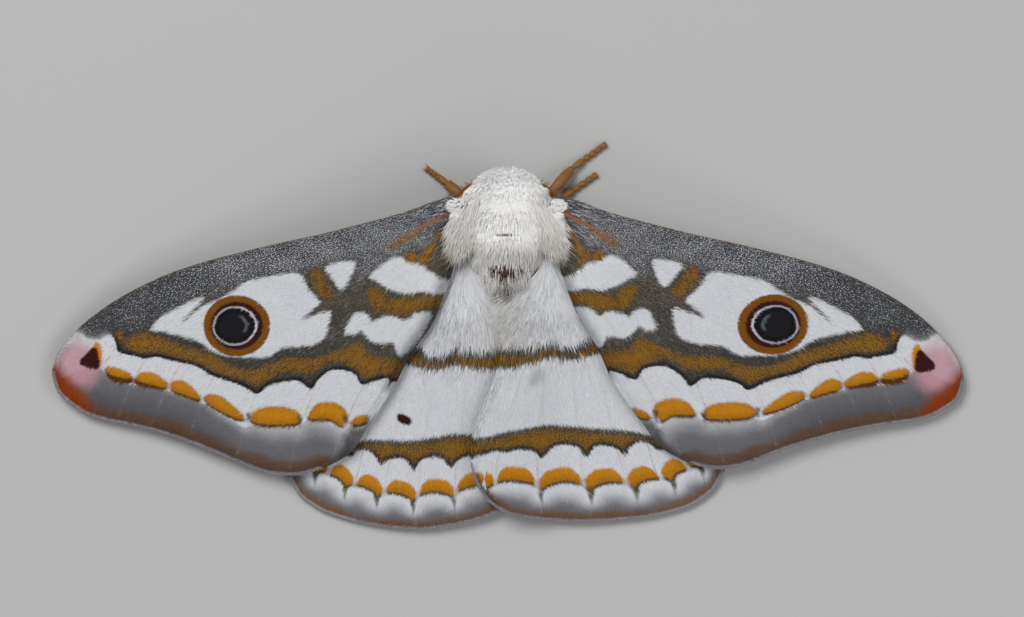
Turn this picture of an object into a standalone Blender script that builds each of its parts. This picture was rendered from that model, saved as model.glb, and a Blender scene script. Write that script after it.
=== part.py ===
"""A marbled emperor moth at rest, life size: head, thorax, abdomen, four wings, six legs, two feelers and two eyes.

The moth sits on the plane z = 0 with its head towards +Y and its right wings towards +X. Lengths below are in
millimetres. A wing or leg point is written as (outwards from the body's axis, forwards), so one list serves both sides.
"""

import math
import random
from functools import partial

import bmesh
import bpy
from mathutils import Matrix, Vector, geometry

MM = 0.001
SIDES = ((1, "right"), (-1, "left"))
GAP = 0.3  # clear space kept between two neighbouring pieces
CREASE_ANGLE = 50.0  # degrees between two faces from which their edge stays sharp

# Wings
MEMBRANE = 0.55  # thickness of the wing between its veins
VEIN_HEIGHT = 0.22  # how far a vein stands above the membrane
VEIN_HALF_WIDTH = 0.36
WING_DEPTH = MEMBRANE + VEIN_HEIGHT
LAYER = 1.18  # height from one wing to the wing that lies over it
ROOT_HEIGHT = 7.6  # height of the forewing's plane over the body's axis
TIP_HEIGHT = 1.0
WING_REACH = 47.0  # outward distance at which the forewing comes down to TIP_HEIGHT
RIDGE_ROUNDING = 2.0  # how softly the wings bend over the back
FALL_POWER = 1.5  # how hollow the slope from root to tip is
REAR_DROP = 0.8  # share of the height lost from the shoulder to the hind margin
DROP_STARTS = 3.0
DROP_LENGTH = 23.0
CROSSING_WIDTH = 6.0  # outward distance over which the right hindwing comes down beside the left one
OUTLINE_STEP = 1.7
VEIN_STEP = 2.8
FIELD_STEP = 3.6
FIELD_MARGIN = 0.4  # share of FIELD_STEP that the free points keep from the edge and the veins
POINT_MERGE = 0.02
BACK_DIP = 0.55  # how much lower the hindwings lie over the abdomen than beside it
BACK_DIP_WIDTH = 3.0
BACK_DIP_LENGTH = 8.0

FOREWING_OUTLINE = [
    (3.9, 12.7), (5.0, 13.75), (6.65, 13.45), (10.65, 12.1), (14.65, 11.05), (18.65, 10.05), (22.65, 9.2),
    (26.65, 8.25), (30.65, 7.2), (34.65, 5.8), (38.65, 3.8), (41.65, 1.75), (43.65, -0.15), (45.05, -1.95),
    (45.8, -4.2), (45.4, -5.6), (44.7, -6.6), (42.65, -7.95), (40.65, -8.6), (36.65, -9.3), (32.65, -10.3),
    (28.65, -11.65), (24.65, -13.2), (22.65, -13.65), (20.65, -13.7), (18.65, -13.2), (16.65, -12.25),
    (15.2, -11.2), (14.0, -9.4), (12.4, -7.2), (10.8, -4.7), (9.4, -1.8), (7.4, 1.3), (6.1, 4.3), (5.0, 7.4),
    (3.9, 9.6),
]
HINDWING_OUTLINE = [
    (3.7, 7.6), (4.6, 8.4), (7.0, 6.5), (12.0, 1.5), (17.0, -5.0), (20.5, -10.5), (21.95, -13.85), (21.4, -14.9),
    (20.7, -15.95), (19.15, -17.1), (17.65, -17.8), (14.65, -18.6), (10.65, -19.1), (7.65, -19.2), (5.65, -19.0),
    (3.65, -18.75), (1.65, -18.3), (0.3, -17.75), (-1.1, -16.7), (-2.3, -15.0), (-3.0, -13.0), (-3.05, -11.0),
    (-2.75, -9.0), (-1.7, -6.0), (-0.9, -3.5), (-0.5, -1.0), (-0.2, 1.5), (0.0, 3.4), (0.8, 4.8), (2.3, 5.2),
    (3.2, 6.3),
]
FOREWING_VEINS = {
    "subcosta": [(5.6, 12.9), (10.65, 11.2), (18.65, 9.1), (26.65, 7.2), (30.3, 6.6)],
    "radius": [(5.2, 12.2), (8.65, 10.9), (12.65, 9.1), (20.65, 6.7), (24.4, 5.5), (27.15, 4.3)],
    "radius_upper": [(20.65, 6.7), (26.65, 5.9), (32.65, 4.6), (37.65, 2.5), (42.3, -0.3)],
    "radius_lower": [(27.15, 4.3), (31.0, 3.4), (35.65, 0.9), (38.9, -1.1), (41.1, -4.3), (42.5, -6.9)],
    "media_1": [(29.0, 3.9), (31.65, 2.3), (33.65, 0.5), (36.05, -2.3), (37.6, -5.0), (38.9, -8.0)],
    "media_2": [(28.5, 0.9), (30.6, -0.9), (32.45, -2.7), (34.35, -6.0), (35.4, -8.7)],
    "media_3": [(26.9, -1.5), (28.4, -2.9), (30.15, -5.7), (31.45, -9.0), (31.7, -9.9)],
    "cubitus_1": [(24.3, -0.9), (24.45, -3.5), (25.4, -6.6), (26.35, -9.0), (27.0, -11.6)],
    "cubitus_2": [(18.6, 2.9), (18.3, -1.0), (19.2, -5.4), (20.6, -9.0), (21.7, -13.0)],
    "anal": [(5.3, 10.0), (6.65, 7.3), (8.65, 3.5), (11.65, -1.0), (14.45, -5.7), (16.65, -10.0), (17.2, -11.8)],
    "cubital_stem": [(5.2, 11.3), (8.2, 8.2), (11.65, 5.2), (15.5, 3.6), (18.6, 2.9), (21.6, 0.9), (26.9, -1.5)],
    "cell_end": [(27.15, 4.3), (28.6, 2.7), (28.5, 0.9), (26.9, -1.5)],
}
HINDWING_VEINS = {
    "anal": [(4.2, 6.6), (2.6, 0.0), (0.9, -7.0), (0.0, -13.0), (-0.3, -16.6)],
    "cubitus_2": [(4.3, 6.4), (3.9, -1.0), (3.8, -8.0), (4.2, -18.1)],
    "cubitus_1": [(4.5, 6.3), (5.6, 0.0), (7.2, -7.0), (8.8, -18.6)],
    "media_3": [(4.7, 6.5), (7.6, -0.5), (10.2, -7.0), (12.8, -18.3)],
    "media_2": [(4.9, 6.7), (9.2, -0.5), (12.9, -7.5), (16.1, -17.6)],
    "media_1": [(5.2, 7.0), (10.6, 0.6), (15.4, -7.0), (18.9, -16.4)],
    "radius": [(5.4, 7.2), (11.6, 1.2), (16.8, -5.6), (21.0, -13.7)],
}
# Where the right wings lie differently from the left ones: (centre, shift, spread). The left takes the opposite shift.
SIDE_SHIFTS = [
    ((46.0, -5.0), (0.15, -0.35), 4.0),
    ((26.5, -12.5), (0.0, 0.45), 5.0),
    ((11.0, -5.0), (-0.3, 0.0), 4.5),
    ((12.0, -19.5), (0.0, 0.28), 6.5),
    ((2.5, -14.0), (-1.1, 0.0), 5.0),
]

# Body: stations along the axis as (forwards, half width, lowest, highest)
BODY_STATIONS = [
    (16.2, 1.0, 3.4, 5.0), (15.8, 1.9, 2.8, 5.9), (15.1, 2.6, 2.3, 6.6), (14.3, 3.1, 2.0, 7.1), (13.2, 3.6, 1.7, 7.7),
    (12.4, 3.8, 1.4, 8.2), (11.0, 4.1, 1.1, 8.8), (9.3, 4.3, 1.0, 9.0), (7.6, 4.0, 1.0, 8.3), (6.3, 3.6, 1.1, 7.0),
    (5.6, 3.5, 1.1, 5.05),
    (3.5, 3.55, 0.9, 5.05), (0.0, 3.5, 0.8, 4.75), (-3.0, 3.2, 0.8, 4.2), (-6.0, 2.7, 0.8, 3.3),
    (-8.6, 1.9, 0.8, 2.6), (-10.3, 0.8, 1.0, 2.0),
]
NECK = 13.0  # forwards place of the cut between head and thorax
WAIST = 5.8  # forwards place of the cut between thorax and abdomen
BODY_SIDES = 18
BLOCK_SIZE = 40.0  # of the blocks that cut the head and thorax apart
HEAD_RINGS = 6
THORAX_RINGS = 9
ABDOMEN_RINGS = 22
SEGMENT_LENGTH = 2.15
SEGMENT_SWELL = 0.12

# Coat: long white fur as flat tapered locks. A row is (forwards, first turn, last turn, locks, length), with turns in
# degrees from the middle of the back.
LOCK_WIDTH = 1.9
LOCK_THICKNESS = 0.62
LOCK_SINK = 0.55  # how deep a lock's root lies under the skin
LOCK_LIFT = 0.75  # how far its tip stands off the skin
LOCK_RINGS = 3
LOCK_OUTLINE = [0.72, 1.0, 0.78, 0.12]  # share of the full width from root to tip
LOCK_SPREAD = 4.0  # degrees by which a lock may stray from its place in the row
LOCK_SWAY = 0.12  # radians by which its tip may stray
TIP_FALL = 0.25  # share of the lift that the tip gives back, so that locks bend
COAT_SEED = 5
THORAX_COAT = [
    (12.7, -50, 50, 6, 3.0), (11.2, -42, 42, 6, 3.3), (9.6, -48, 48, 6, 3.4), (12.3, 84, 132, 3, 2.8),
    (10.3, 84, 132, 3, 2.8), (12.3, -132, -84, 3, 2.8), (10.3, -132, -84, 3, 2.8),
]
HEAD_COAT = [(13.5, -84, 84, 7, -2.4), (14.8, -75, 75, 5, -2.0), (15.3, 150, 210, 2, -1.3)]
ABDOMEN_COAT = [(-8.2, -150, 150, 8, 2.6)]
# Hair behind the thorax, over the hindwings: (outwards, forwards) of root and tip
REAR_HAIR = [
    ((0.5, 7.3), (0.45, 0.6)), ((1.6, 7.2), (1.9, 3.2)), ((2.5, 7.1), (3.2, 3.3)), ((3.2, 7.2), (4.4, 3.8)),
]
WING_HAIR = [
    ((2.1, 2.8), (2.4, -0.8)), ((3.3, 2.9), (3.9, -0.9)), ((4.5, 2.8), (5.3, -0.8)), ((5.5, 2.3), (6.6, -0.5)),
]
SHOULDER_HAIR = [((1.75, 12.4), (5.5, 12.6)), ((1.9, 11.9), (5.7, 11.3)), ((2.0, 11.3), (5.2, 9.9))]
SHOULDER_ROOT = 7.0  # height of the shoulder hair's roots, inside the thorax
HAIR_WIDTH = 1.7
HAIR_CLEARANCE = 0.12  # extra height of hair over another piece, as the wings curve between their points
HAIR_LIFT = 0.77  # height that the hair on a hindwing gains from root to tip
HAIR_RISE = 0.63  # share of its length over which it gains that
HAIR_ARCH = 0.35  # height of the arch in the hair behind the thorax
HAIR_STRAY = (0.15, 0.3)  # how far a tip may stray sideways and along

# Legs: hip, knee, ankle and toe as (outwards, forwards, up)
FEMUR_RADIUS = 0.5
TIBIA_RADIUS = 0.56
TARSUS_RADIUS = 0.36
FLOOR_BITE = 0.07  # depth of the flat under each foot
FOOT = TARSUS_RADIUS - FLOOR_BITE
LEGS = {
    "leg_fore_right": (1, [(1.8, 12.0, 2.2), (3.9, 13.6, 1.9), (6.6, 16.75, 0.85), (10.0, 19.2, FOOT)]),
    "leg_fore_left": (-1, [(1.8, 12.0, 2.2), (3.8, 13.3, 1.9), (6.0, 15.2, 0.85), (8.1, 16.75, FOOT)]),
    "leg_mid_right": (1, [(2.2, 9.6, 2.3), (5.1, 10.9, 2.7), (5.5, 13.7, 0.85), (9.05, 16.15, FOOT)]),
    "leg_mid_left": (-1, [(2.2, 9.6, 2.3), (5.2, 10.6, 2.7), (8.1, 10.9, 0.85), (11.9, 10.3, FOOT)]),
    "leg_hind_right": (1, [(2.0, 7.4, 2.3), (5.2, 5.2, 2.7), (7.6, 1.0, 0.85), (9.6, -3.6, FOOT)]),
    "leg_hind_left": (-1, [(2.0, 7.4, 2.3), (5.2, 5.2, 2.7), (7.6, 1.0, 0.85), (9.6, -3.6, FOOT)]),
}
# (share of the limb's length, share of its radius) along each limb
FEMUR_PROFILE = [(0.0, 0.9), (0.35, 1.0), (0.8, 1.0)]
TIBIA_PROFILE = [(0.04, 0.75), (0.22, 0.8), (0.45, 1.0), (0.7, 0.95), (0.9, 0.8)]
TARSOMERE_PROFILE = [(0.25, 1.0), (0.8, 1.0), (1.0, 0.81)]
TARSOMERES = 5
FIRST_TARSOMERE = 0.32  # share of the tarsus that its first limb takes
TARSUS_DESCENT = 0.4  # share of the tarsus over which it comes down onto the floor
TOE_SHARE = 0.62
THIGH_POINTS = 8  # points of a leg's line, from the hip, that lie near the body

# Feelers, palps and eyes
FEELER_PATH = [
    (1.0, 15.2, 5.3), (2.4, 15.6, 5.5), (3.95, 15.1, 5.0), (5.4, 14.0, 4.25), (7.9, 12.4, 3.7), (10.4, 10.8, 3.4),
    (12.6, 9.2, 3.2),
]
FEELER_RADIUS = 0.27
FEELER_ROOT_POINTS = 6  # points of its line, from the root, that lie near the head
RAY_PAIRS = 11
RAY_START = 0.22  # share of the feeler's length before its first rays
RAY_LENGTH = 1.25
RAY_RADII = (0.25, 0.1)
RAY_SWEEP = 0.5  # how far a ray leans towards the feeler's tip
RAY_DROOP = 0.15
RAY_LENGTHS = (0.27, 0.82)  # part of a half sine wave that the rays' lengths follow from the first to the last
RAY_STAGGER = 0.4  # share of a pair's spacing by which its second ray is farther on
PALP_PATH = [(0.75, 14.9, 2.9), (0.85, 15.8, 2.45), (0.8, 16.4, 2.35)]
PALP_RADII = [0.5, 0.5, 0.3]
EYE_CENTRE = (2.7, 14.5, 3.85)
EYE_RADIUS = 1.1

MATERIALS = {
    "coat_white": ((0.86, 0.84, 0.80), 0.95),
    "wing_scales": ((0.62, 0.60, 0.60), 0.85),
    "leg_ochre": ((0.45, 0.20, 0.04), 0.7),
    "feeler_rust": ((0.42, 0.14, 0.05), 0.75),
    "eye_dark": ((0.03, 0.02, 0.02), 0.25),
}


def clear_scene():
    """Removes the objects that are in the scene at the start."""
    for obj in list(bpy.data.objects):
        bpy.data.objects.remove(obj)


def make_material(name):
    """The named Principled material."""
    colour, roughness = MATERIALS[name]
    material = bpy.data.materials.new(name)
    material.use_nodes = True
    shader = material.node_tree.nodes["Principled BSDF"]
    shader.inputs["Base Color"].default_value = (*colour, 1.0)
    shader.inputs["Roughness"].default_value = roughness
    return material


def make_collection(name):
    """A collection linked into the scene."""
    collection = bpy.data.collections.new(name)
    bpy.context.scene.collection.children.link(collection)
    return collection


def finish(obj, material):
    """Gives a piece its material and smooth shading with sharp creases."""
    obj.data.materials.clear()
    obj.data.materials.append(material)
    obj.data.shade_smooth()
    obj.data.set_sharp_from_angle(angle=math.radians(CREASE_ANGLE))


def place_mesh(name, bm, collection):
    """Turns a bmesh in millimetres into an object in metres."""
    bmesh.ops.scale(bm, vec=(MM, MM, MM), verts=bm.verts)
    mesh = bpy.data.meshes.new(name)
    bm.to_mesh(mesh)
    bm.free()
    obj = bpy.data.objects.new(name, mesh)
    collection.objects.link(obj)
    return obj


def smoothstep(value):
    """0 below 0, 1 above 1 and an even rise between."""
    value = min(max(value, 0.0), 1.0)
    return value * value * (3.0 - 2.0 * value)


def smooth_path(points, step, closed=False):
    """Points about one step apart on a Catmull-Rom curve through the given ones."""
    knots = [Vector(p) for p in points]
    if closed:
        knots = [knots[-1]] + knots + knots[:2]
    else:
        knots = [2 * knots[0] - knots[1]] + knots + [2 * knots[-1] - knots[-2]]
    path = []
    for before, start, end, after in zip(knots, knots[1:], knots[2:], knots[3:]):
        count = max(1, round((end - start).length / step))
        for i in range(count):
            u = i / count
            path.append(
                0.5
                * (
                    2 * start
                    + (end - before) * u
                    + (2 * before - 5 * start + 4 * end - after) * u**2
                    + (3 * start - before - 3 * end + after) * u**3
                )
            )
    return path if closed else path + [knots[-2]]


def side_shift(side, point):
    """Where a wing point of one side lies, in the body's own x and y, with that side's small differences."""
    out, fore = point
    shift = Vector((0.0, 0.0))
    for centre, move, spread in SIDE_SHIFTS:
        reach = (Vector(point) - Vector(centre)).length_squared / (2.0 * spread**2)
        shift += side * math.exp(-reach) * Vector(move)
    return Vector((side * (out + shift.x), fore + shift.y))


def forewing_height(x, y):
    """Height of a forewing's middle surface: highest over the body, down towards the tip and the hind margin."""
    out = math.sqrt(x * x + RIDGE_ROUNDING**2) - RIDGE_ROUNDING
    slope = (1.0 - min(out / WING_REACH, 1.0)) ** FALL_POWER
    kept = 1.0 - REAR_DROP * smoothstep((DROP_STARTS - y) / DROP_LENGTH)
    return TIP_HEIGHT + (ROOT_HEIGHT - TIP_HEIGHT) * slope * kept


def hindwing_height(side, x, y):
    """Height of a hindwing's middle surface. The right one lies over the left one where they cross."""
    dip = BACK_DIP * math.exp(-((x / BACK_DIP_WIDTH) ** 2)) * smoothstep((y + BACK_DIP_LENGTH) / BACK_DIP_LENGTH)
    under_forewing = forewing_height(x, y) - LAYER - dip
    beside = smoothstep(x / CROSSING_WIDTH)
    return under_forewing + LAYER * (1.0 - beside if side > 0 else -beside)


def distance_to_lines(point, lines):
    """Distance in plan from a point to the nearest of some lines."""
    nearest = math.inf
    for line in lines:
        for start, end in zip(line, line[1:]):
            foot, share = geometry.intersect_point_line(point, start, end)
            foot = start.lerp(end, min(max(share, 0.0), 1.0))
            nearest = min(nearest, (point - foot.to_2d()).length)
    return nearest


def vein_share(point, veins):
    """1 on a vein's crest, 0 off the veins."""
    return max(0.0, 1.0 - distance_to_lines(point, veins) / VEIN_HALF_WIDTH)


def inside(point, outline):
    """Whether a plan point is inside a closed outline."""
    crossings = 0
    for start, end in zip(outline, outline[1:] + outline[:1]):
        if (start.y > point.y) != (end.y > point.y):
            x = start.x + (point.y - start.y) / (end.y - start.y) * (end.x - start.x)
            crossings += x > point.x
    return crossings % 2 == 1


def grown_outline(outline, margin):
    """The outline moved outwards by a margin."""
    grown = []
    for before, here, after in zip(outline[-1:] + outline[:-1], outline, outline[1:] + outline[:1]):
        along = (after - before).normalized()
        normal = Vector((along.y, -along.x))
        if inside(here + normal * POINT_MERGE, outline):
            normal.negate()
        grown.append(here + normal * margin)
    return grown


def field_points(outline, veins):
    """Free points of a triangular grid inside the outline, clear of its edge and of the veins."""
    low_x, high_x = min(p.x for p in outline), max(p.x for p in outline)
    low_y, high_y = min(p.y for p in outline), max(p.y for p in outline)
    row_step = FIELD_STEP * math.sqrt(0.75)
    lines = [outline + outline[:1]] + veins
    points = []
    for row in range(int((high_y - low_y) / row_step) + 1):
        for column in range(int((high_x - low_x) / FIELD_STEP) + 1):
            point = Vector((low_x + (column + 0.5 * (row % 2)) * FIELD_STEP, low_y + row * row_step))
            if inside(point, outline) and distance_to_lines(point, lines) > FIELD_STEP * FIELD_MARGIN:
                points.append(point)
    return points


def vein_edges(veins):
    """Points and edges along each vein: its crest and the foot of either flank."""
    points, edges = [], []
    for vein in veins:
        for offset in (-VEIN_HALF_WIDTH, 0.0, VEIN_HALF_WIDTH):
            first = len(points)
            for i, point in enumerate(vein):
                along = (vein[min(i + 1, len(vein) - 1)] - vein[max(i - 1, 0)]).normalized()
                points.append(point + Vector((-along.y, along.x)) * offset)
            edges += [(i, i + 1) for i in range(first, len(points) - 1)]
    return points, edges


def wing_surface(outline, veins, height):
    """A wing's middle surface as triangles, with lines of edges along its veins."""
    ridges, ridge_edges = vein_edges(veins)
    points = outline + ridges + field_points(outline, veins)
    edges = [(a + len(outline), b + len(outline)) for a, b in ridge_edges]
    border = [list(range(len(outline)))]
    points, _, faces, *_ = geometry.delaunay_2d_cdt(points, edges, border, 1, POINT_MERGE)
    bm = bmesh.new()
    verts = []
    for point in points:
        rise = VEIN_HEIGHT * vein_share(point, veins) / 2
        verts.append(bm.verts.new((point.x, point.y, height(point.x, point.y) + rise)))
    for face in faces:
        bm.faces.new([verts[i] for i in face])
    bmesh.ops.recalc_face_normals(bm, faces=bm.faces)
    if sum(face.normal.z for face in bm.faces) < 0:
        bmesh.ops.reverse_faces(bm, faces=bm.faces)
    return bm


def add_wall(obj, thickness, group=""):
    """Gives an open surface its thickness, half on either side, less where the group's weight is below 1."""
    wall = obj.modifiers.new("wall", "SOLIDIFY")
    wall.thickness = thickness * MM
    wall.offset = 0.0
    wall.use_even_offset = True
    wall.vertex_group = group


def wing_outline(side, points):
    """A wing's closed outline on one side."""
    return [side_shift(side, p) for p in smooth_path(points, OUTLINE_STEP, closed=True)]


def make_wing(name, side, outline_points, vein_points, height, collection):
    """A wing: a thin wall whose veins stand out as ridges."""
    veins = [[side_shift(side, p) for p in smooth_path(points, VEIN_STEP)] for points in vein_points.values()]
    bm = wing_surface(wing_outline(side, outline_points), veins, height)
    weights = [(MEMBRANE + VEIN_HEIGHT * vein_share(v.co.to_2d(), veins)) / WING_DEPTH for v in bm.verts]
    wing = place_mesh(name, bm, collection)
    group = wing.vertex_groups.new(name="thickness")
    for index, weight in enumerate(weights):
        group.add([index], weight, "REPLACE")
    add_wall(wing, WING_DEPTH, group.name)
    return wing


def clear_wing(name, side, outline_points, height, collection):
    """A wing's plain shape made larger all round, for cutting other pieces clear of it."""
    bm = wing_surface(grown_outline(wing_outline(side, outline_points), GAP), [], height)
    add_wall(place_mesh(name, bm, collection), WING_DEPTH + 2 * GAP)


def section(fore):
    """Half width, lowest and highest point of the body at one place along its axis."""
    if fore >= BODY_STATIONS[0][0]:
        return BODY_STATIONS[0][1:]
    for ahead, behind in zip(BODY_STATIONS, BODY_STATIONS[1:]):
        if behind[0] <= fore:
            u = (ahead[0] - fore) / (ahead[0] - behind[0])
            return tuple(a + (b - a) * u for a, b in zip(ahead[1:], behind[1:]))
    return BODY_STATIONS[-1][1:]


def body_point(fore, turn, out=0.0):
    """A point on the body: turn is the angle from the back, clockwise as seen from behind, and out a lift off it."""
    half_width, low, high = section(fore)
    half_height = (high - low) / 2
    centre = Vector((0.0, fore, (low + high) / 2))
    return centre + Vector(((half_width + out) * math.sin(turn), 0.0, (half_height + out) * math.cos(turn)))


def segment_swell(fore):
    """How far the abdomen swells between the grooves of its segments."""
    phase = (WAIST - fore) / SEGMENT_LENGTH
    return SEGMENT_SWELL * (abs(math.sin(math.pi * phase)) * 2.0 - 1.0)


def make_trunk(name, front, back, rings, collection, swell=None):
    """One length of the body, closed at both ends, as rings of the body's section."""
    bm = bmesh.new()
    bmesh.ops.create_cone(bm, cap_ends=True, segments=BODY_SIDES, radius1=1.0, radius2=1.0, depth=1.0)
    upright = [e for e in bm.edges if abs(e.verts[0].co.z - e.verts[1].co.z) > 0.5]
    bmesh.ops.subdivide_edges(bm, edges=upright, cuts=rings - 1, use_grid_fill=False)
    for vert in bm.verts:
        fore = front + (back - front) * (0.5 - vert.co.z)
        turn = math.atan2(vert.co.x, vert.co.y)
        vert.co = body_point(fore, turn, swell(fore) if swell else 0.0)
    if bm.calc_volume(signed=True) < 0:
        bmesh.ops.reverse_faces(bm, faces=bm.faces)
    return place_mesh(name, bm, collection)


def lock_object(path, normals, width, collection):
    """One lock, ready to be joined: a flat, tapered blade with a low rib that follows LOCK_RINGS + 1 points."""
    bm = bmesh.new()
    bmesh.ops.create_cone(bm, cap_ends=True, segments=4, radius1=1.0, radius2=1.0, depth=1.0)
    upright = [e for e in bm.edges if abs(e.verts[0].co.z - e.verts[1].co.z) > 0.5]
    bmesh.ops.subdivide_edges(bm, edges=upright, cuts=LOCK_RINGS - 1)
    for vert in bm.verts:
        ring = round((vert.co.z + 0.5) * LOCK_RINGS)
        along = path[min(ring + 1, LOCK_RINGS)] - path[max(ring - 1, 0)]
        across = along.cross(normals[ring]).normalized()
        breadth = across * vert.co.x * width / 2 * LOCK_OUTLINE[ring]
        depth = normals[ring] * vert.co.y * LOCK_THICKNESS / 2 * math.sqrt(LOCK_OUTLINE[ring])
        vert.co = path[ring] + breadth + depth
    if bm.calc_volume(signed=True) < 0:
        bmesh.ops.reverse_faces(bm, faces=bm.faces)
    return place_mesh("lock", bm, collection)


def coat_rows(rows, dice, collection):
    """Locks in rows round the body that lie backwards along it, or forwards where their length is negative."""
    for fore, first, last, count, length in rows:
        for i in range(count):
            share = (i + 0.5) / count
            turn = math.radians(first + (last - first) * share + dice.uniform(-LOCK_SPREAD, LOCK_SPREAD))
            reach = length * dice.uniform(0.88, 1.12)
            sway = dice.uniform(-LOCK_SWAY, LOCK_SWAY)
            path, normals = [], []
            for ring in range(LOCK_RINGS + 1):
                u = ring / LOCK_RINGS
                out = -LOCK_SINK + (LOCK_SINK + LOCK_LIFT) * math.sin(u * math.pi / 2) * (1.0 - TIP_FALL * u * u)
                place = body_point(fore - reach * u, turn + sway * u * u, out)
                above = body_point(fore - reach * u, turn + sway * u * u, out + 1.0)
                path.append(place)
                normals.append((above - place).normalized())
            lock_object(path, normals, LOCK_WIDTH * dice.uniform(0.85, 1.1), collection)


def loose_hair(strands, side, heights, dice, collection):
    """Locks that lie just over a wing. heights gives the height of a lock's middle at its root and farther on."""
    for root, tip in strands:
        root, tip = Vector(root), Vector(tip)
        tip += Vector([dice.uniform(-stray, stray) for stray in HAIR_STRAY])
        path = []
        for ring in range(LOCK_RINGS + 1):
            u = ring / LOCK_RINGS
            spot = root.lerp(tip, u)
            x = side * spot.x
            path.append(Vector((x, spot.y, heights(x, spot.y, u))))
        lock_object(path, [Vector((0, 0, 1))] * (LOCK_RINGS + 1), HAIR_WIDTH, collection)


def make_tube(name, points, radii, collection, sides=1):
    """A closed tube through the points with its own radius at each."""
    data = bpy.data.curves.new(name, "CURVE")
    data.dimensions = "3D"
    data.bevel_depth = MM
    data.bevel_resolution = sides
    data.use_fill_caps = True
    spline = data.splines.new("POLY")
    spline.points.add(len(points) - 1)
    for knot, point, radius in zip(spline.points, points, radii):
        knot.co = (*(Vector(point) * MM), 1.0)
        knot.radius = radius
    curve = bpy.data.objects.new(name, data)
    collection.objects.link(curve)
    bpy.context.view_layer.update()
    mesh = bpy.data.meshes.new_from_object(curve.evaluated_get(bpy.context.evaluated_depsgraph_get()))
    bm = bmesh.new()
    bm.from_mesh(mesh)
    bmesh.ops.remove_doubles(bm, verts=bm.verts, dist=0.001 * MM)
    bmesh.ops.recalc_face_normals(bm, faces=bm.faces)
    bm.to_mesh(mesh)
    bm.free()
    bpy.data.objects.remove(curve)
    tube = bpy.data.objects.new(name, mesh)
    collection.objects.link(tube)
    return tube


def leg_line(side, joints):
    """Points and radii along a leg: femur, tibia and a tarsus of five short limbs that comes down to the floor."""
    hip, knee, ankle, toe = [Vector((side * out, fore, up)) for out, fore, up in joints]
    line = [(hip.lerp(knee, share), FEMUR_RADIUS * girth) for share, girth in FEMUR_PROFILE]
    line += [(knee.lerp(ankle, share), TIBIA_RADIUS * girth) for share, girth in TIBIA_PROFILE]
    limb = (1.0 - FIRST_TARSOMERE) / (TARSOMERES - 1)
    for number in range(TARSOMERES):
        start = FIRST_TARSOMERE + limb * (number - 1) if number else 0.0
        length = limb if number else FIRST_TARSOMERE
        for share, girth in TARSOMERE_PROFILE:
            along = start + length * share
            point = ankle.lerp(toe, along)
            point.z = toe.z + (ankle.z - toe.z) * (1.0 - smoothstep(along / TARSUS_DESCENT))
            line.append((point, TARSUS_RADIUS * girth))
    points, radii = [list(column) for column in zip(*line)]
    radii[-1] = TARSUS_RADIUS * TOE_SHARE
    return points, radii


def make_leg(name, side, joints, collection, material):
    """A leg with a flat under its foot."""
    leg = make_tube(name, *leg_line(side, joints), collection)
    bm = bmesh.new()
    bm.from_mesh(leg.data)
    whole = bm.verts[:] + bm.edges[:] + bm.faces[:]
    cut = bmesh.ops.bisect_plane(bm, geom=whole, plane_co=(0, 0, 0), plane_no=(0, 0, 1), clear_inner=True)
    rim = [e for e in cut["geom_cut"] if isinstance(e, bmesh.types.BMEdge)]
    bmesh.ops.holes_fill(bm, edges=rim)
    bmesh.ops.recalc_face_normals(bm, faces=bm.faces)
    bm.to_mesh(leg.data)
    bm.free()
    finish(leg, material)


def make_ball(name, centre, radius, fineness, collection):
    """A round ball."""
    bm = bmesh.new()
    bmesh.ops.create_icosphere(bm, subdivisions=fineness, radius=radius)
    bmesh.ops.translate(bm, verts=bm.verts, vec=centre)
    return place_mesh(name, bm, collection)


def combine(target, collection, operation):
    """Joins a collection's solids to the target, or cuts them from it, and keeps the target's largest closed surface."""
    boolean = target.modifiers.new(operation.lower(), "BOOLEAN")
    boolean.operation = operation
    boolean.operand_type = "COLLECTION"
    boolean.collection = collection
    boolean.solver = "EXACT"
    bpy.context.view_layer.update()
    mesh = bpy.data.meshes.new_from_object(target.evaluated_get(bpy.context.evaluated_depsgraph_get()))
    target.modifiers.clear()
    target.data = mesh
    keep_largest(mesh)


def keep_largest(mesh):
    """Drops every closed surface of a mesh but the largest one."""
    bm = bmesh.new()
    bm.from_mesh(mesh)
    left = set(bm.faces)
    shells = []
    while left:
        shell, waiting = [], [left.pop()]
        while waiting:
            face = waiting.pop()
            shell.append(face)
            beside = {other for edge in face.edges for other in edge.link_faces} & left
            left -= beside
            waiting += beside
        shells.append(shell)
    shells.sort(key=lambda faces: sum(face.calc_area() for face in faces))
    dropped = [face for shell in shells[:-1] for face in shell]
    bmesh.ops.delete(bm, geom=dropped, context="FACES")
    bm.to_mesh(mesh)
    bm.free()


def clearances(collection):
    """Slightly larger copies of what is rooted in the body or lies over it, for cutting the body clear of them."""
    for side, word in SIDES:
        clear_wing(f"clear_forewing_{word}", side, FOREWING_OUTLINE, forewing_height, collection)
        clear_wing(f"clear_hindwing_{word}", side, HINDWING_OUTLINE, partial(hindwing_height, side), collection)
        centre = (side * EYE_CENTRE[0], EYE_CENTRE[1], EYE_CENTRE[2])
        make_ball(f"clear_eye_{word}", centre, EYE_RADIUS + GAP, 2, collection)
        path = feeler_line(side)[:FEELER_ROOT_POINTS]
        clear_tube(f"clear_feeler_{word}", path, [FEELER_RADIUS] * len(path), collection)
    for name, (side, joints) in LEGS.items():
        points, radii = leg_line(side, joints)
        clear_tube(f"clear_{name}", points[:THIGH_POINTS], radii[:THIGH_POINTS], collection)


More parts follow.
